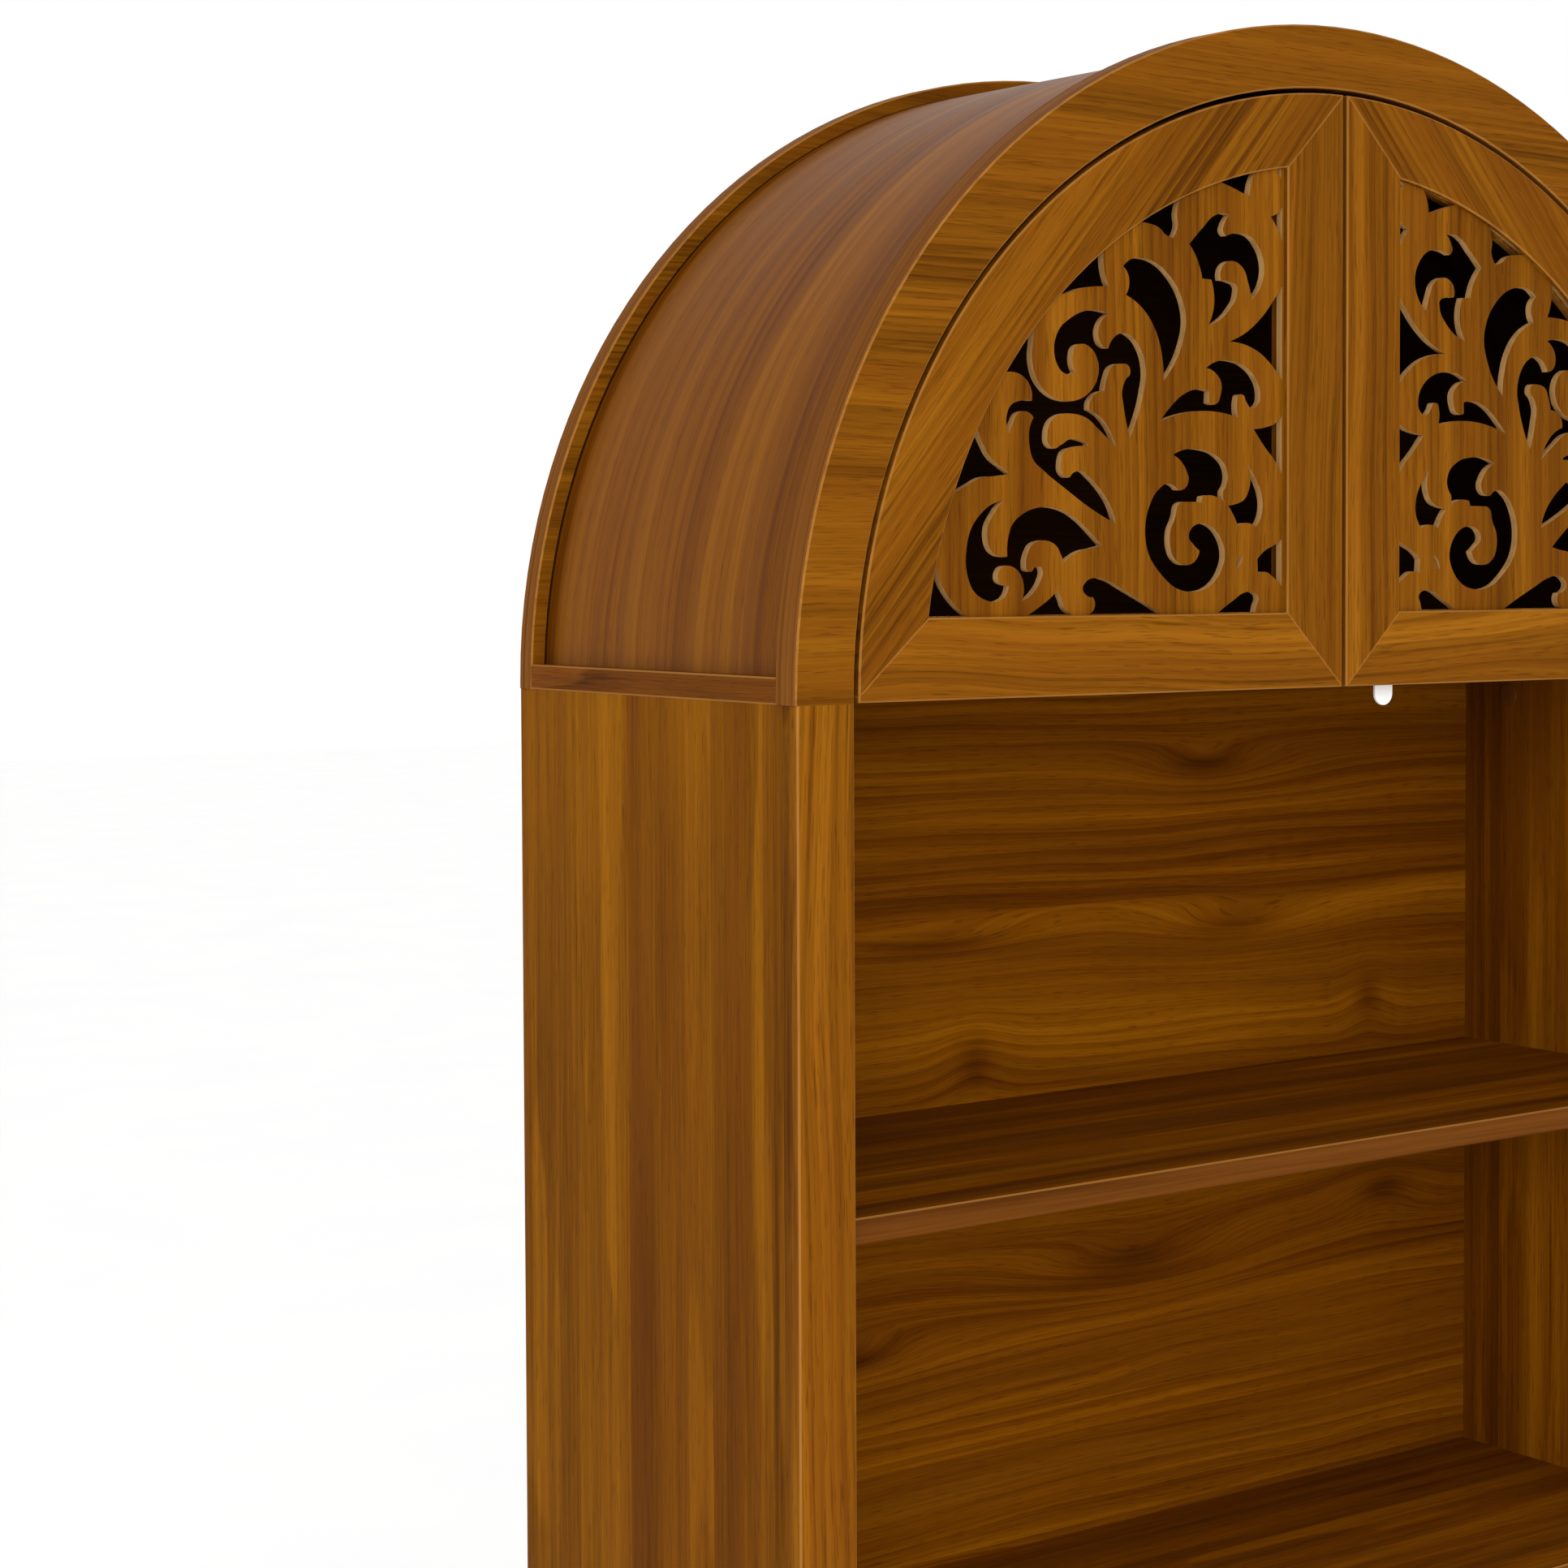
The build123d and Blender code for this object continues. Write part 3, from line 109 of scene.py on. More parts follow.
def grain_space(tree, along):
    """Object coordinates turned so that the first runs along the grain and the other two across it, in metres.
    along is X, Y, Z, an angle in degrees from X towards Z, or ROUND for a sheet bent over the dome."""
    place = put(tree, "TexCoord", out="Object")
    if isinstance(along, (int, float)):
        place = put(tree, "Mapping", {0: place, "Rotation": (0, math.radians(along), 0)})
        along = "X"
    split = put(tree, "SeparateXYZ", {0: place}).node
    x, y, z = split.outputs[0], split.outputs[1], split.outputs[2]
    if along == "ROUND":
        rise = put(tree, "Math", {0: z, 1: ARCH_CENTRE_Z}, operation="SUBTRACT")
        angle = put(tree, "Math", {0: x, 1: rise}, operation="ARCTAN2")
        arc = put(tree, "Math", {0: angle, 1: SKIN_RADIUS}, operation="MULTIPLY")
        order = (arc, y, 0.0)
    else:
        order = {"X": (x, z, y), "Y": (y, x, z), "Z": (z, x, y)}[along]
    return put(tree, "CombineXYZ", {0: order[0], 1: order[1], 2: order[2]})


def own_normal(tree):
    """The way a face looks, in the piece's own directions, so that it stays when a door turns."""
    facing = put(tree, "NewGeometry", out="True Normal")
    return put(tree, "VectorTransform", {0: facing}, vector_type="NORMAL", convert_from="WORLD",
               convert_to="OBJECT")


def eased_edges(tree, shape):
    """1 on the narrow eased edges of a piece, where a light line is drawn, partly the core's tan and partly a
    painted highlight, and 0 on its faces. BOARD is for a square board, TOP for a shelf's upper edges only, RING for
    a curved piece and CUT for sawn walls. An eased edge looks half way between the faces beside it, so no part of
    its normal is near 1."""
    facing = own_normal(tree)
    if shape == "TOP":
        upright = put(tree, "SeparateXYZ", {0: facing}, out=2)
        return put(tree, "Math", {0: upright, 1: 0.7, 2: 0.2}, operation="COMPARE")
    size = put(tree, "VectorMath", {0: facing}, operation="ABSOLUTE")
    split = put(tree, "SeparateXYZ", {0: size}).node
    if shape == "CUT":
        return put(tree, "Math", {0: split.outputs[1], 1: 0.9}, operation="LESS_THAN")
    if shape == "RING":
        # A ring's faces look along Y and its walls square to it, whichever way they curve
        return put(tree, "Math", {0: split.outputs[1], 1: 0.65, 2: 0.25}, operation="COMPARE")
    pair = put(tree, "Math", {0: split.outputs[0], 1: split.outputs[2]}, operation="MAXIMUM")
    most = put(tree, "Math", {0: pair, 1: split.outputs[1]}, operation="MAXIMUM")
    return put(tree, "Math", {0: most, 1: 0.9}, operation="LESS_THAN")


def mitre_lines(tree):
    """1 on a line a millimetre wide along each mitre of the door frames, the same on both doors."""
    place = put(tree, "TexCoord", out="Object")
    folded = put(tree, "VectorMath", {0: place}, operation="ABSOLUTE")
    found = 0.0
    for inner, outer in MITRES:
        middle = ((inner[0] + outer[0]) / 2, 0, DOOR_SILL + (inner[1] + outer[1]) / 2)
        run = Vector((outer[0] - inner[0], 0, outer[1] - inner[1]))
        across = run.normalized().cross(Vector((0, 1, 0)))
        away = put(tree, "VectorMath", {0: folded, 1: middle}, operation="SUBTRACT")
        flat = put(tree, "VectorMath", {0: away, 1: (1, 0, 1)}, operation="MULTIPLY")
        off = put(tree, "VectorMath", {0: flat, 1: tuple(across)}, out=1, operation="DOT_PRODUCT")
        thin = put(tree, "Math", {0: off, 1: 0.0, 2: 0.00055}, operation="COMPARE")
        reach = put(tree, "VectorMath", {0: flat}, out=1, operation="LENGTH")
        close = put(tree, "Math", {0: reach, 1: run.length / 2 + 0.002}, operation="LESS_THAN")
        line = put(tree, "Math", {0: thin, 1: close}, operation="MULTIPLY")
        found = put(tree, "Math", {0: line, 1: found}, operation="MAXIMUM")
    return found


def tone_bands(tree, axis, low, high, bands, steps):
    """Greys from 0 to 1 along an axis of the object, between two places in metres, in steps or blended."""
    place = put(tree, "TexCoord", out="Object")
    depth = put(tree, "SeparateXYZ", {0: place}, out=axis)
    share = put(tree, "MapRange", {0: depth, 1: low, 2: high, 3: 0.0, 4: 1.0})
    greys = [((at - low) / (high - low), grey) for at, grey in bands]
    return put(tree, "ValToRGB", {0: share}, stops=greys, steps=steps)


def inside_dome(tree):
    """1 on the faces that look into the dome: under the bent skins, from the floor's top up and before the rear
    board. Each limit lies just inside the board or skin, so that only its face toward the room is taken."""
    place = put(tree, "TexCoord", out="Object")
    off = put(tree, "VectorMath", {0: place, 1: (0, 0, ARCH_CENTRE_Z)}, operation="SUBTRACT")
    flat = put(tree, "VectorMath", {0: off, 1: (1, 0, 1)}, operation="MULTIPLY")
    reach = put(tree, "VectorMath", {0: flat}, out=1, operation="LENGTH")
    under = put(tree, "Math", {0: reach, 1: SKIN_RADIUS - SKIN_THICKNESS / 2}, operation="LESS_THAN")
    split = put(tree, "SeparateXYZ", {0: place}).node
    above = put(tree, "Math", {0: split.outputs[2], 1: DOME_FLOOR_TOP - 0.0005}, operation="GREATER_THAN")
    before = put(tree, "Math", {0: split.outputs[1], 1: REAR_BOARD_FRONT + 0.0015}, operation="LESS_THAN")
    room = put(tree, "Math", {0: under, 1: above}, operation="MULTIPLY")
    return put(tree, "Math", {0: room, 1: before}, operation="MULTIPLY")


def round_knots(tree, space, rise, knots):
    """Pushes the lines aside round each knot, which is (along, across, length, width, push) in metres. Gives the
    grain's sideways push with the knots in it, and 1 at the heart of each knot."""
    heart = 0.0
    for u, v, long, wide, push in knots:
        off = put(tree, "VectorMath", {0: space, 1: (u, v, 0)}, operation="SUBTRACT")
        near = put(tree, "VectorMath", {0: off, 1: (1 / long, 1 / wide, 0)}, operation="MULTIPLY")
        square = put(tree, "VectorMath", {0: near, 1: near}, out=1, operation="DOT_PRODUCT")
        fall = put(tree, "Math", {0: square, 1: -1.0}, operation="MULTIPLY")
        swell = put(tree, "Math", {0: fall}, operation="EXPONENT")
        rise = put(tree, "Math", {0: swell, 1: push, 2: rise}, operation="MULTIPLY_ADD")
        tight = put(tree, "Math", {0: swell, 1: 5.0}, operation="POWER")
        heart = put(tree, "Math", {0: tight, 1: heart}, operation="MAXIMUM")
    return rise, heart


def growth_lines(tree, lines, bent, bands, gap, merge):
    """Growth lines some gap metres apart: each darkens slowly and ends sharply. The bands make them run together,
    and they fade in and out in patches about 400 mm long and 60 mm wide."""
    across = put(tree, "SeparateXYZ", {0: bent}, out=1)
    turn = put(tree, "Math", {0: across, 1: 1 / gap}, operation="MULTIPLY")
    uneven = put(tree, "Math", {0: bands, 1: merge, 2: turn}, operation="MULTIPLY_ADD")
    saw = put(tree, "Math", {0: uneven}, operation="FRACT")
    late = put(tree, "MapRange", {0: saw, 1: 0.25, 2: 0.95, 3: 0.0, 4: 1.0}, interpolation_type="SMOOTHSTEP")
    early = put(tree, "MapRange", {0: saw, 1: 0.95, 2: 1.0, 3: 1.0, 4: 0.0})
    line = put(tree, "Math", {0: late, 1: early}, operation="MULTIPLY")
    patch_space = put(tree, "VectorMath", {0: lines, 1: (2.5, 16.0, 16.0)}, operation="MULTIPLY")
    patch = put(tree, "TexNoise", {"Vector": patch_space, "Scale": 1.0, "Detail": 1.0})
    drawn = put(tree, "MapRange", {0: patch, 1: 0.35, 2: 0.65, 3: 0.15, 4: 1.0})
    return put(tree, "Math", {0: line, 1: drawn}, operation="MULTIPLY")


def edge_band(tree, edge, place, tones):
    """Reddish edge band on the front of a shelf, or on the walls of an arch, where its grain runs round. Gives 1
    where it is, and its colour."""
    ahead = put(tree, "SeparateXYZ", {0: own_normal(tree)}, out=1)
    if edge == "RING":
        ahead = put(tree, "Math", {0: ahead}, operation="ABSOLUTE")
        run = put(tree, "VectorMath", {0: grain_space(tree, "ROUND"), 1: (2.0, 500.0, 1.0)}, operation="MULTIPLY")
        place = put(tree, "TexNoise", {"Vector": run, "Scale": 1.0, "Detail": 3.0})
    # An arch's walls look away from Y, and a shelf's front looks along it, toward the doors
    where = put(tree, "Math", {0: ahead, 1: 0.4 if edge == "RING" else -0.6}, operation="LESS_THAN")
    return where, put(tree, "ValToRGB", {0: place}, stops=list(zip((0.25, 0.75), tones)))


def walnut(name, along, tones, red, edge="BOARD", edge_colour="#9C6A30", planks=None, tone_and_light_zones=None, knots=(),
           seed=0.0, ring_gap=0.007, ring_depth=0.22, merge=3.0, flow=0.007, bands=0.85, streak=0.45, fibre=0.5,
           level=0.5, mitres=False, band=None, painted_dome_shade=False, groove_shadow=False, roughness=0.5, specular=0.012):
    """Walnut-grained decor paper under a satin melamine skin. The eye sees straight growth lines a few millimetres
    apart that run round the knots, darker streaks, fine fibre and pores, planks of slightly different tone, and a
    thin tan line on the eased edges, partly the core showing through and partly a painted highlight where the edges
    catch the light. Painted shade can darken the faces inside the dome and a line at the skin's groove, and zones
    add lighter and darker stretches, of the print's tone on some boards and of painted light on others. The shine
    is very faint."""
    made, tree = blank(name)
    space = lines = grain_space(tree, along)
    shade = level
    if planks:
        # Planks of the printed decor: each has its own tone and its own stretch of grain
        tone = tone_bands(tree, *planks, steps=True)
        shade = put(tree, "Math", {0: tone, 1: level - 0.18}, operation="ADD")
        slide = put(tree, "VectorMath", {0: tone, 1: (41.0, 0, 0)}, operation="MULTIPLY")
        lines = put(tree, "VectorMath", {0: space, 1: slide}, operation="ADD")
    if tone_and_light_zones:
        # Soft lighter and darker stretches over the planks: the print's own tone on the back sheet, painted light
        # on the left side panel
        zone = tone_bands(tree, *tone_and_light_zones, steps=False)
        centred = put(tree, "Math", {0: zone, 1: 0.2}, operation="SUBTRACT")
        shade = put(tree, "Math", {0: centred, 1: shade}, operation="ADD")
    if seed:
        lines = put(tree, "VectorMath", {0: lines, 1: (seed, seed * 0.37, 0)}, operation="ADD")
    # The grain wanders slowly, by flow metres to each side over half a metre
    slow = put(tree, "VectorMath", {0: lines, 1: (2.0, 9.0, 9.0)}, operation="MULTIPLY")
    wander = put(tree, "TexNoise", {"Vector": slow, "Scale": 1.0, "Detail": 2.0})
    drift = put(tree, "MapRange", {0: wander, 1: 0.2, 2: 0.8, 3: -flow, 4: flow})
    rise, heart = round_knots(tree, space, drift, knots)
    shove = put(tree, "CombineXYZ", {0: 0.0, 1: rise, 2: 0.0})
    bent = put(tree, "VectorMath", {0: lines, 1: shove}, operation="ADD")
    # Bands about 25 mm wide, streaks about 6 mm, and fibres about 1.5 mm, coarser than real so that they show
    sizes = {"bands": (0.7, 40.0, 1.5, 0.5), "streaks": (1.2, 160.0, 3.5, 0.66), "fibres": (9.0, 650.0, 3.0, 0.75)}
    layer = {}
    for key, (length, width, detail, coarse) in sizes.items():
        scaled = put(tree, "VectorMath", {0: bent, 1: (length, width, width)}, operation="MULTIPLY")
        layer[key] = put(tree, "TexNoise", {"Vector": scaled, "Scale": 1.0, "Detail": detail, "Roughness": coarse})
    line = growth_lines(tree, lines, bent, layer["bands"], ring_gap, merge)
    # Pores: dark dashes about 10 mm long and half a millimetre wide, twice their real width so that they show
    dash_space = put(tree, "VectorMath", {0: bent, 1: (60.0, 1500.0, 1500.0)}, operation="MULTIPLY")
    dashes = put(tree, "TexNoise", {"Vector": dash_space, "Scale": 1.0, "Detail": 0.0})
    pores = put(tree, "MapRange", {0: dashes, 1: 0.64, 2: 0.76, 3: 0.0, 4: 1.0})
    # All layers add up to one place on the tone ramp
    total = put(tree, "Math", {0: line, 1: -ring_depth, 2: shade}, operation="MULTIPLY_ADD")
    total = put(tree, "Math", {0: total, 1: ring_depth * 0.3}, operation="ADD")
    for key, weight in (("bands", bands), ("streaks", streak), ("fibres", fibre)):
        centred = put(tree, "Math", {0: layer[key], 1: 0.5}, operation="SUBTRACT")
        total = put(tree, "Math", {0: centred, 1: weight, 2: total}, operation="MULTIPLY_ADD")
    if knots:
        total = put(tree, "Math", {0: heart, 1: -0.25, 2: total}, operation="MULTIPLY_ADD")
    colour = put(tree, "ValToRGB", {0: total}, stops=list(zip((0.12, 0.38, 0.58, 0.85), tones)))
    # Heartwood patches 25 mm wide lean to red
    warm_space = put(tree, "VectorMath", {0: bent, 1: (1.6, 40.0, 40.0)}, operation="MULTIPLY")
    warm = put(tree, "TexNoise", {"Vector": warm_space, "Scale": 1.0, "Detail": 2.0})
    lean = put(tree, "MapRange", {0: warm, 1: 0.42, 2: 0.68, 3: 0.0, 4: 0.55})
    colour = put(tree, "Mix", {0: lean, 6: colour, 7: linear(red)}, out=2, data_type="RGBA")
    dark = put(tree, "Math", {0: pores, 1: 0.4}, operation="MULTIPLY")
    colour = put(tree, "Mix", {0: dark, 6: colour, 7: linear(tones[0])}, out=2, data_type="RGBA")
    if painted_dome_shade:
        # Painted shade: the faces inside the dome are darkened nearly to black, standing for the deep shade there
        dome_shade_mask = put(tree, "Math", {0: inside_dome(tree), 1: 0.86}, operation="MULTIPLY")
        colour = put(tree, "Mix", {0: dome_shade_mask, 6: colour, 7: linear("#140A04")}, out=2, data_type="RGBA")
    if groove_shadow:
        # Painted shadow: a dark line 2 mm wide on the skin where it enters the rear board's groove
        place = put(tree, "TexCoord", out="Object")
        depth = put(tree, "SeparateXYZ", {0: place}, out=1)
        close = put(tree, "MapRange", {0: depth, 1: REAR_BOARD_FRONT - 0.0035, 2: REAR_BOARD_FRONT - 0.0015,
                                       3: 0.0, 4: 0.9})
        colour = put(tree, "Mix", {0: close, 6: colour, 7: linear("#1A0A03")}, out=2, data_type="RGBA")
    if band:
        where, banded = edge_band(tree, edge, total, band)
        colour = put(tree, "Mix", {0: where, 6: colour, 7: banded}, out=2, data_type="RGBA")
    # Light line on the eased edges and sawn walls: partly the core's tan, partly a painted highlight where the
    # edges catch the light. It is fainter where the edge has been handled
    edge_light_line = eased_edges(tree, edge)
    if mitres:
        faint = put(tree, "Math", {0: mitre_lines(tree), 1: 0.6}, operation="MULTIPLY")
        edge_light_line = put(tree, "Math", {0: edge_light_line, 1: faint}, operation="MAXIMUM")
    handled = put(tree, "MapRange", {0: layer["streaks"], 1: 0.3, 2: 0.7, 3: 0.45, 4: 0.95})
    edge_light_line = put(tree, "Math", {0: edge_light_line, 1: handled}, operation="MULTIPLY")
    colour = put(tree, "Mix", {0: edge_light_line, 6: colour, 7: linear(edge_colour)}, out=2, data_type="RGBA")
    gloss = put(tree, "MapRange", {0: layer["streaks"], 1: 0.3, 2: 0.7, 3: roughness - 0.06, 4: roughness + 0.06})
    relief = put(tree, "Math", {0: pores, 1: -1.0, 2: layer["fibres"]}, operation="MULTIPLY_ADD")
    bump = put(tree, "Bump", {"Height": relief, "Strength": 0.15, "Distance": 0.0002})
    return surface(made, {"Base Color": colour, "Roughness": gloss, "Normal": bump, "Specular IOR Level": specular})


# --- Fittings' materials ---------------------------------------------------------------------------

def zinc_plate():
    """Zinc-plated steel of the hinges, cams and bolts: a bright grey with a faint mottle 5 mm across and brushed
    lines. The lines are 3 mm long and 0.25 mm apart, coarser than real so that they show."""
    made, tree = blank("zinc_plated_steel")
    place = put(tree, "TexCoord", out="Object")
    mottle = put(tree, "TexNoise", {"Vector": place, "Scale": 220.0, "Detail": 3.0})
    colour = put(tree, "ValToRGB", {0: mottle}, stops=[(0.3, "#A9ABAA"), (0.7, "#C9CAC6")])
    lines = put(tree, "VectorMath", {0: place, 1: (300.0, 300.0, 4000.0)}, operation="MULTIPLY")
    brushed = put(tree, "TexNoise", {"Vector": lines, "Scale": 1.0, "Detail": 2.0})
    gloss = put(tree, "MapRange", {0: brushed, 3: 0.25, 4: 0.42})
    return surface(made, {"Base Color": colour, "Roughness": gloss, "Metallic": 1.0})


def moulded(name, light, dark, roughness, grit, specular=0.5):
    """Moulded plastic, rubber or plated block: a nearly even colour that clouds over 17 mm, with a grit that breaks
    up its shine. grit is grains to the metre, about 0.4 to 1 mm each, coarser than real so that it shows."""
    made, tree = blank(name)
    place = put(tree, "TexCoord", out="Object")
    cloud = put(tree, "TexNoise", {"Vector": place, "Scale": 60.0, "Detail": 2.0})
    colour = put(tree, "ValToRGB", {0: cloud}, stops=[(0.35, dark), (0.65, light)])
    grain = put(tree, "TexNoise", {"Vector": place, "Scale": grit, "Detail": 1.0})
    gloss = put(tree, "MapRange", {0: grain, 3: roughness - 0.07, 4: roughness + 0.07})
    bump = put(tree, "Bump", {"Height": grain, "Strength": 0.1, "Distance": 0.0001})
    return surface(made, {"Base Color": colour, "Roughness": gloss, "Normal": bump, "Specular IOR Level": specular})


def beech():
    """Plain beech of dowels and keys: pale and dull, with darker flecks a millimetre across."""
    made, tree = blank("turned_beech")
    place = put(tree, "TexCoord", out="Object")
    flecks = put(tree, "TexNoise", {"Vector": place, "Scale": 900.0, "Detail": 2.0})
    colour = put(tree, "ValToRGB", {0: flecks}, stops=[(0.35, "#B98F62"), (0.6, "#D2AC7E")])
    worn = put(tree, "MapRange", {0: flecks, 3: 0.5, 4: 0.7})
    return surface(made, {"Base Color": colour, "Roughness": worn})


def floor_paint():
    """White matt floor paint: nearly even, with a roller mottle 300 mm across that barely shows."""
    made, tree = blank("white_floor_paint")
    place = put(tree, "TexCoord", out="Object")
    mottle = put(tree, "TexNoise", {"Vector": place, "Scale": 3.0, "Detail": 3.0})
    colour = put(tree, "ValToRGB", {0: mottle}, stops=[(0.3, "#FDFDFD"), (0.7, "#FFFFFE")])
    matt = put(tree, "MapRange", {0: mottle, 3: 0.7, 4: 0.8})
    return surface(made, {"Base Color": colour, "Roughness": matt, "Specular IOR Level": 0.1})


# --- Which piece has which finish ------------------------------------------------------------------

def dress(material, *names):
    """Gives a finish to the pieces named."""
    for name in names:
        nodes[name].data.materials.clear()
        nodes[name].data.materials.append(material)


# Dark, two middle and light tone of the print, by where a board is. Besides the print's hue, each set is lightened
# or darkened as painted light and painted shade, for how much light reaches that place
FRONT_TONES = ("#3C1A03", "#613706", "#784709", "#925A10")
SIDE_TONES = ("#3E1A01", "#643903", "#7B4904", "#925B08")
SKIN_TONES = ("#401A00", "#633401", "#764303", "#88530A")
INNER_TONES = ("#3D1A00", "#653402", "#7F4803", "#A0620C")
SHELF_TONES = ("#441F02", "#6A3703", "#844A04", "#9E6008")
FLOOR_TONES = ("#381A06", "#62350B", "#764210", "#8A5416")
ARCH_BAND = ("#56300C", "#84501C")
SHELF_BAND = ("#4E2808", "#704014")
# Axis, first place and last place of the planks and zones that lie beside or above each other
DEPTH = (1, -0.155, 0.155)
BAYS = (2, 0.0, 1.3)

dress(walnut("walnut_arch_melamine", "X", FRONT_TONES, "#703C08", edge="RING", ring_gap=0.0055, ring_depth=0.18,
             bands=0.65, streak=0.38, fibre=0.45, band=ARCH_BAND),
      "front_arch")
dress(walnut("walnut_back_arch_melamine", "X", FRONT_TONES, "#703C08", edge="RING", seed=3.1, ring_gap=0.0045,
             streak=0.6, painted_dome_shade=True, band=ARCH_BAND),
      "dome_back")
dress(walnut("walnut_bent_skin_melamine", "ROUND", SKIN_TONES, "#6E3F0A", edge="RING", seed=1.7, ring_gap=0.011,
             ring_depth=0.14, merge=1.5, bands=1.3, streak=0.5, fibre=0.4, groove_shadow=True, painted_dome_shade=True,
             roughness=0.38, specular=0.032,
             planks=(*DEPTH, [(-0.155, 0.16), (-0.085, 0.22), (-0.022, 0.14), (0.035, 0.21), (0.088, 0.17)])),
      "left_vault_skin", "right_vault_skin")
# Painted light: its zones make the left side panel lighter towards its top, where more of the lamp's light falls
dress(walnut("walnut_side_melamine", "Z", SIDE_TONES, "#6A3806", seed=5.3, merge=1.2, flow=0.004, bands=0.7,
             streak=0.5, fibre=0.55,
             planks=(*DEPTH, [(-0.155, 0.16), (-0.120, 0.19), (-0.066, 0.25), (-0.004, 0.07), (0.026, 0.20),
                              (0.086, 0.15)]),
             tone_and_light_zones=(*BAYS, [(0.0, 0.18), (0.90, 0.16), (1.05, 0.20), (1.25, 0.27)])),
      "left_side_panel")
# Painted light: the right side panel takes the lighter inner tones and a higher level than the left one, for the
# lamp's light on its inner face
dress(walnut("walnut_right_side_melamine", "Z", INNER_TONES, "#6A3806", seed=7.9, level=0.54, merge=1.2,
             flow=0.004, streak=0.6, fibre=0.55,
             planks=(*DEPTH, [(-0.155, 0.16), (-0.090, 0.22), (-0.030, 0.15), (0.036, 0.24), (0.088, 0.06),
                              (0.125, 0.15)])),
      "right_side_panel")
dress(walnut("walnut_stile_melamine", "Z", FRONT_TONES, "#703C08", seed=8.9, ring_gap=0.006, merge=1.5, flow=0.012,
             bands=1.4, streak=0.75),
      "left_stile", "right_stile", "left_panel_beads", "right_panel_beads")
dress(walnut("walnut_dome_floor_melamine", "Y", FLOOR_TONES, "#663410", seed=2.2, ring_gap=0.004, painted_dome_shade=True),
      "dome_floor")
dress(walnut("walnut_shelf_melamine", "X", SHELF_TONES, "#40200A", edge="TOP", seed=4.4, ring_gap=0.012,
             ring_depth=0.16, fibre=0.6, band=SHELF_BAND),
      "upper_shelf", "middle_shelf", "lower_shelf", "bottom_panel", "plinth_back")
dress(walnut("walnut_printed_back_sheet", "X", INNER_TONES, "#5A2E04", seed=6.6, ring_gap=0.011, ring_depth=0.15,
             merge=2.5, flow=0.014, bands=0.65, streak=0.36, fibre=0.45, roughness=0.6,
             knots=[(0.124, 1.228, 0.070, 0.018, 0.019), (0.283, 1.052, 0.026, 0.034, -0.011),
                    (-0.078, 1.036, 0.030, 0.034, -0.011), (-0.110, 1.118, 0.120, 0.016, 0.017),
                    (0.150, 1.112, 0.100, 0.018, 0.017), (0.060, 0.880, 0.130, 0.026, 0.028),
                    (-0.180, 0.850, 0.060, 0.018, 0.019), (0.300, 0.905, 0.050, 0.024, -0.016),
                    (-0.220, 0.590, 0.090, 0.020, 0.021), (0.210, 0.540, 0.060, 0.024, 0.025),
                    (0.080, 0.250, 0.110, 0.022, 0.023), (-0.250, 0.200, 0.050, 0.024, -0.016)],
             planks=(*BAYS, [(0.0, 0.16), (0.137, 0.21), (0.267, 0.14), (0.412, 0.20), (0.557, 0.13), (0.702, 0.20),
                             (0.790, 0.15), (0.955, 0.20), (1.137, 0.17)]),
             tone_and_light_zones=(2, 0.7, 1.3, [(0.70, 0.20), (0.80, 0.25), (0.88, 0.15), (0.96, 0.24), (1.04, 0.26),
                                  (1.10, 0.20), (1.13, 0.24), (1.143, 0.08), (1.165, 0.11), (1.20, 0.27),
                                  (1.23, 0.20), (1.28, 0.25)])),
      "upper_back_panel", "lower_back_panel")
dress(walnut("walnut_door_rail_melamine", "X", FRONT_TONES, "#703C08", edge="RING", seed=11.2, mitres=True,
             level=0.6, merge=2.5, flow=0.02, bands=1.4, streak=0.6),
      "left_bottom_rail", "right_bottom_rail", "plinth_front")
dress(walnut("walnut_meeting_stile_melamine", "Z", FRONT_TONES, "#6A3806", edge="RING", seed=12.7, mitres=True,
             level=0.47, ring_gap=0.006, merge=1.5, flow=0.012, bands=1.4, streak=0.7),
      "left_meeting_stile", "right_meeting_stile")
for hand, lean, seed in (("left", 50.0, 14.1), ("right", -50.0, 15.9)):
    dress(walnut(f"walnut_{hand}_curve_melamine", lean, FRONT_TONES, "#703C08", edge="RING", seed=seed, mitres=True,
                 streak=0.6, fibre=0.55),
          f"{hand}_arch_rail")
dress(walnut("walnut_fret_melamine", "Z", FRONT_TONES, "#703C08", edge="CUT", edge_colour="#C69C64", seed=17.3,
             ring_depth=0.18, merge=1.5, bands=1.2, fibre=0.45),
      "left_fret_panel", "right_fret_panel")

cap_plastic = moulded("moulded_walnut_cap_plastic", "#6A3C0C", "#5E3408", 0.5, 2500.0, 0.1)
zinc = zinc_plate()
by_slot = {
    "zinc_plated_steel": zinc,
    "beech": beech(),
    "brown_plastic": moulded("moulded_brown_plastic", "#3E2008", "#331905", 0.5, 2500.0, 0.1),
    "white_plastic": moulded("milky_white_plastic", "#F4F4F2", "#EAEAE8", 0.35, 1500.0),
    "clear_bumper_rubber": moulded("clear_bumper_rubber", "#D8D6CE", "#CFCDC5", 0.3, 1500.0),
    "magnet_steel": moulded("nickel_plated_magnet", "#77777A", "#6A6A6C", 0.3, 900.0),
}
for name, slot in slot_of.items():
    if slot in by_slot:
        dress(by_slot[slot], name)


# --- Small fittings, modelled in metres at the places that the CAD gives ---------------------------

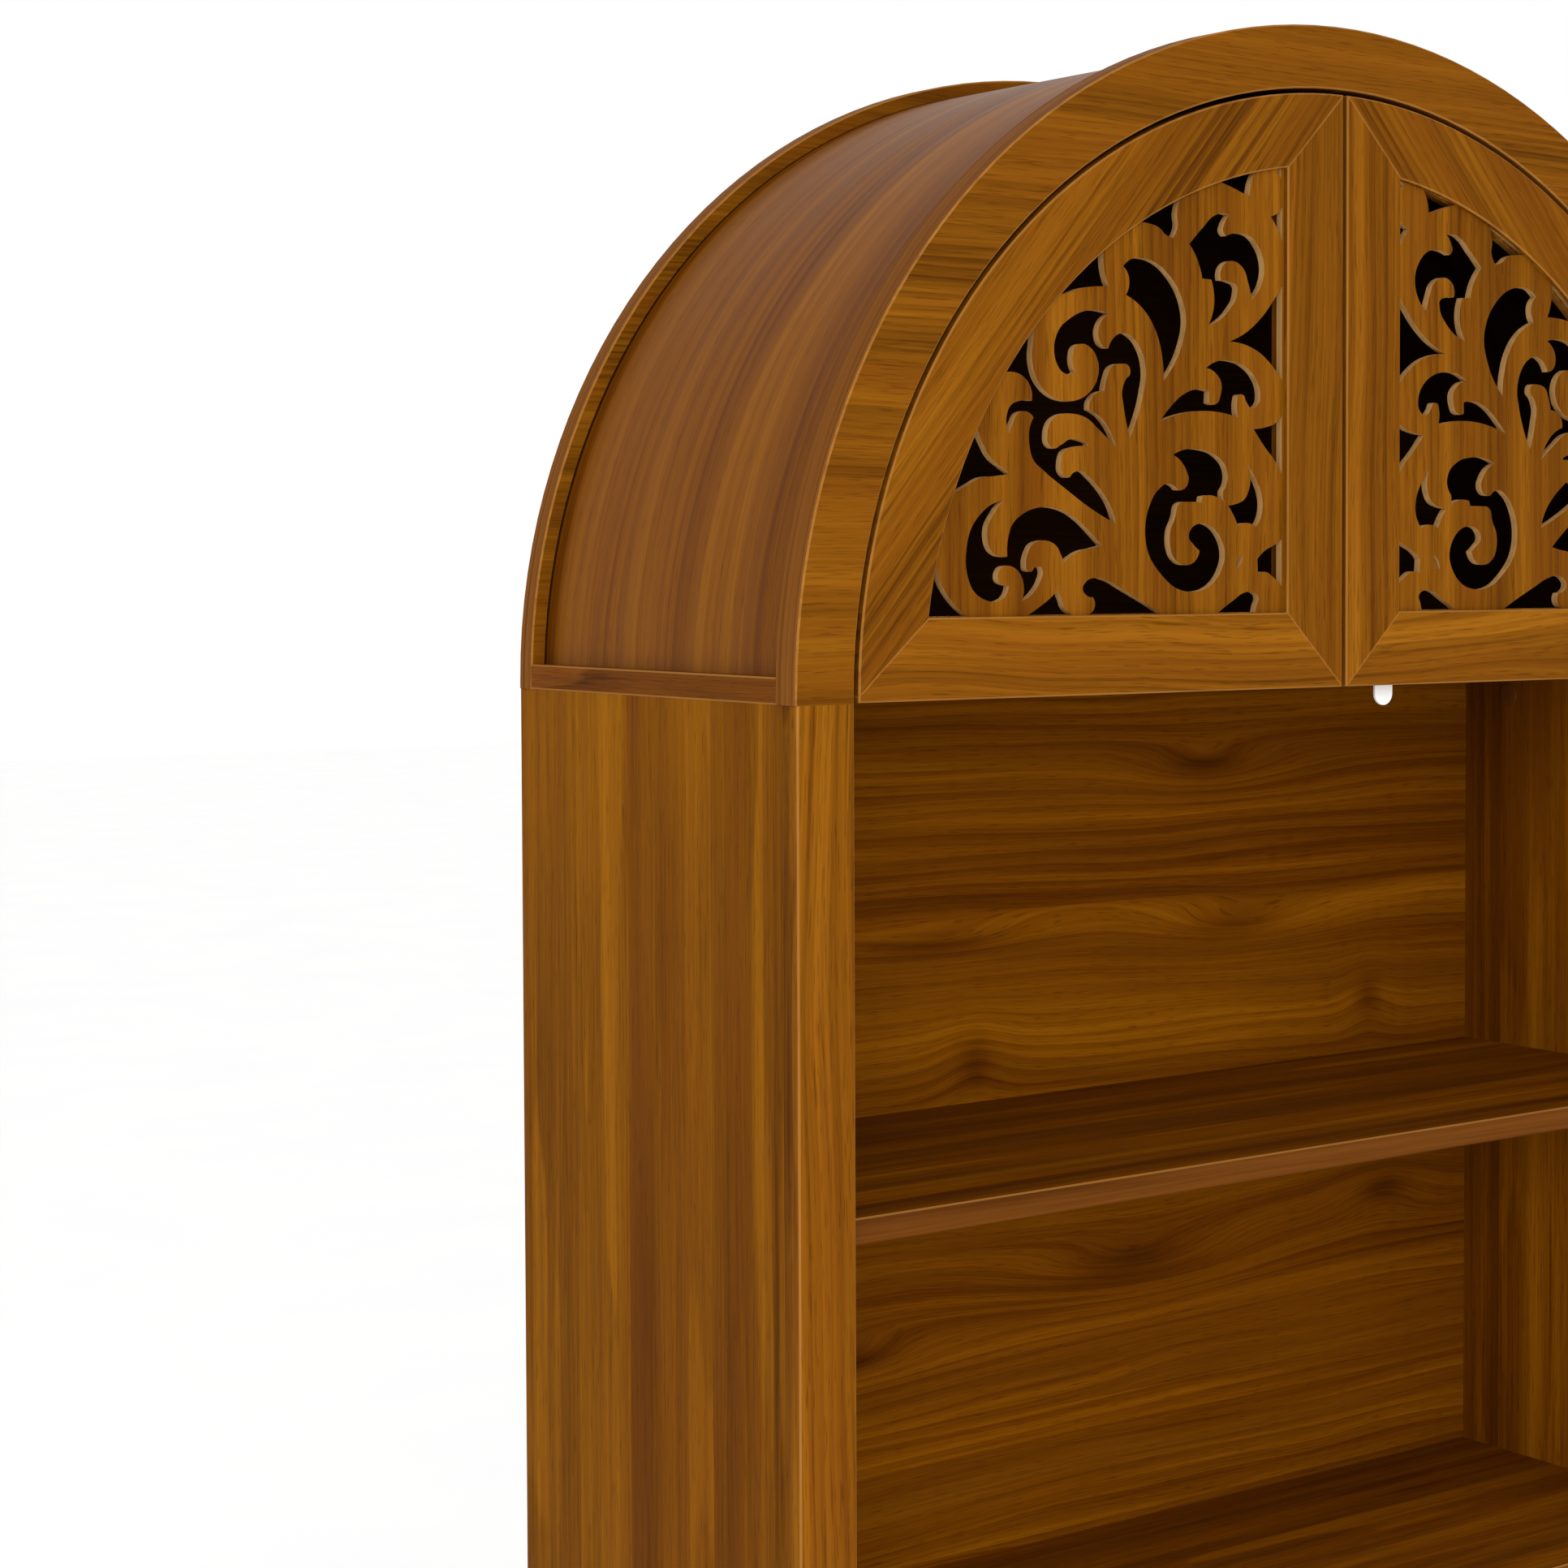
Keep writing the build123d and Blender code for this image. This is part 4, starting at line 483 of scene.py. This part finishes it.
def choose(test):
    """In edit mode, selects only the faces that pass a test."""
    mesh = bpy.context.object.data
    shape = bmesh.from_edit_mesh(mesh)
    for group in (shape.verts, shape.edges, shape.faces):
        for part in group:
            part.select = False
    for face in shape.faces:
        if test(face):
            face.select_set(True)
    shape.select_flush_mode()
    bmesh.update_edit_mesh(mesh)


def take(piece):
    """Makes a piece the only selected one and the active one."""
    bpy.ops.object.select_all(action="DESELECT")
    piece.select_set(True)
    bpy.context.view_layer.objects.active = piece


def turned_head(name, radius, skirt, rims, sides):
    """A round head that stands on the origin and rises along Z: a straight skirt, then a rim rounded over in rims
    of (how far in, how far up)."""
    bpy.ops.object.select_all(action="DESELECT")
    bpy.ops.mesh.primitive_cylinder_add(vertices=sides, radius=radius, depth=skirt, location=(0, 0, skirt / 2))
    made = bpy.context.object
    made.name = name
    bpy.ops.object.transform_apply(location=True, rotation=True, scale=True)
    bpy.ops.object.mode_set(mode="EDIT")
    choose(lambda face: face.normal.z > 0.9)
    for inward, upward in rims:
        bpy.ops.mesh.inset(thickness=inward, depth=0)
        bpy.ops.transform.translate(value=(0, 0, upward))
    bpy.ops.object.mode_set(mode="OBJECT")
    return made


def cross_recess(piece, top, reach, width, depth):
    """Cuts a cross-shaped driver recess, narrower at its floor, into the top of a piece."""
    for turn in (0, math.pi / 2):
        bpy.ops.object.select_all(action="DESELECT")
        bpy.ops.mesh.primitive_cube_add(size=1, location=(0, 0, top), rotation=(0, 0, turn))
        blade = bpy.context.object
        blade.scale = (reach, width, 2 * depth)
        bpy.ops.object.mode_set(mode="EDIT")
        choose(lambda face: face.normal.z < -0.9)
        bpy.ops.transform.resize(value=(0.6, 0.6, 1))
        bpy.ops.object.mode_set(mode="OBJECT")
        cut = piece.modifiers.new("recess", "BOOLEAN")
        cut.operation = "DIFFERENCE"
        cut.object = blade
        take(piece)
        bpy.ops.object.modifier_apply(modifier=cut.name)
        bpy.data.objects.remove(blade)


def smooth(piece, degrees):
    """Shades a piece smooth, apart from edges sharper than so many degrees."""
    take(piece)
    bpy.ops.object.shade_smooth_by_angle(angle=math.radians(degrees))


def fit(model, places, body, material, stands_for=None):
    """Copies a finished model to its places on a body, each with its own mesh and its place in that mesh."""
    for number, (place, turn) in enumerate(places, 1):
        piece = bpy.data.objects.new(f"{model.name}_{number}", model.data.copy())
        bpy.context.scene.collection.objects.link(piece)
        piece.location = place
        piece.rotation_euler = turn
        take(piece)
        bpy.ops.object.transform_apply(location=True, rotation=True, scale=True)
        piece.data.materials.append(material)
        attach(piece, body)
        if stands_for:
            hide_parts(stands_for)
    bpy.data.objects.remove(model)


# Cover caps over the cams of the dome floor, on the side panels' inner faces: 17.6 mm across, 1.2 mm proud, domed
cap = turned_head("cam_cover_cap", 0.0088, 0.0004,
                  [(0.0003, 0.0003), (0.0009, 0.00025), (0.0022, 0.0002), (0.003, 0.00005)], 48)
smooth(cap, 60)
fit(cap, [((side * CAP_X, y, CAP_Z), (0, -side * math.pi / 2, 0)) for side in (-1, 1) for y in CAP_DEPTHS],
    "carcass", cap_plastic, "cam_caps")

# Pan-head screws with 5.8 mm heads, two through the pad of each hinge arm into the back of the door
screw = turned_head("hinge_screw", 0.0029, 0.0006, [(0.0002, 0.0005), (0.0005, 0.0004), (0.0008, 0.0002)], 24)
cross_recess(screw, 0.0017, 0.0032, 0.0007, 0.0009)
smooth(screw, 35)
for side, door in ((-1, "left_door"), (1, "right_door")):
    spots = [((side * x, SCREW_Y, z), (-math.pi / 2, 0, 0)) for x in SCREW_COLUMNS for z in ARM_HEIGHTS]
    fit(bpy.data.objects.new(f"{door}_hinge_screw", screw.data.copy()), spots, door, zinc)
bpy.data.objects.remove(screw)

# Cams under the four shelf boards: 12 mm across and 11 mm long, with a raised rim and a cross recess to turn them
cam = turned_head("shelf_cam", 0.006, 0.011, [(0.0006, 0), (0.0003, -0.0005)], 40)
cross_recess(cam, 0.0105, 0.0078, 0.0016, 0.0028)
smooth(cam, 35)
fit(cam, [((side * SHELF_CAM_X, SHELF_CAM_Y, z), (math.pi, 0, 0)) for side in (-1, 1) for z in SHELF_CAM_TOPS],
    "carcass", zinc, "shelf_cams")


# --- Floor, light and camera -----------------------------------------------------------------------

bpy.ops.object.select_all(action="DESELECT")
bpy.ops.mesh.primitive_plane_add(size=40, location=(0, 0, 0))
floor = bpy.context.object
floor.name = "studio_floor"
floor.data.materials.append(floor_paint())

world = bpy.data.worlds.new("studio")
world.use_nodes = True
world.node_tree.nodes["Background"].inputs["Color"].default_value = (1, 1, 1, 1)
world.node_tree.nodes["Background"].inputs["Strength"].default_value = 1.0
bpy.context.scene.world = world

# A square softbox before and to the left of the cabinet, aimed at its doors
LAMP_PLACE = Vector((-1.9, -3.3, 2.0))
LAMP_TARGET = Vector((0, 0, 1.4))
lamp = bpy.data.lights.new("key_light", "AREA")
lamp.size = 1.8
lamp.energy = 62
key_light = bpy.data.objects.new("key_light", lamp)
bpy.context.scene.collection.objects.link(key_light)
key_light.location = LAMP_PLACE
key_light.rotation_euler = (LAMP_TARGET - LAMP_PLACE).to_track_quat("-Z", "Y").to_euler()

# The camera's place in metres and turns in radians; its focal length and the middle of its lens in image pixels
CAMERA_PLACE = (-1.33186, -1.60264, 1.37514)
CAMERA_YAW = 0.6896
CAMERA_PITCH = -0.0385
CAMERA_ROLL = -0.0003
FOCAL_PIXELS = 3926.54
LENS_MIDDLE = (1444.03, 840.0)
IMAGE = 1932
SENSOR = 36
lens = bpy.data.cameras.new("camera")
lens.sensor_width = SENSOR
lens.lens = FOCAL_PIXELS * SENSOR / IMAGE
lens.shift_x = (IMAGE / 2 - LENS_MIDDLE[0]) / IMAGE
lens.shift_y = (LENS_MIDDLE[1] - IMAGE / 2) / IMAGE
camera = bpy.data.objects.new("camera", lens)
bpy.context.scene.collection.objects.link(camera)
camera.location = CAMERA_PLACE
camera.rotation_euler = (math.pi / 2 + CAMERA_PITCH, CAMERA_ROLL, -CAMERA_YAW)
bpy.context.scene.camera = camera
bpy.context.scene.view_settings.view_transform = "Standard"
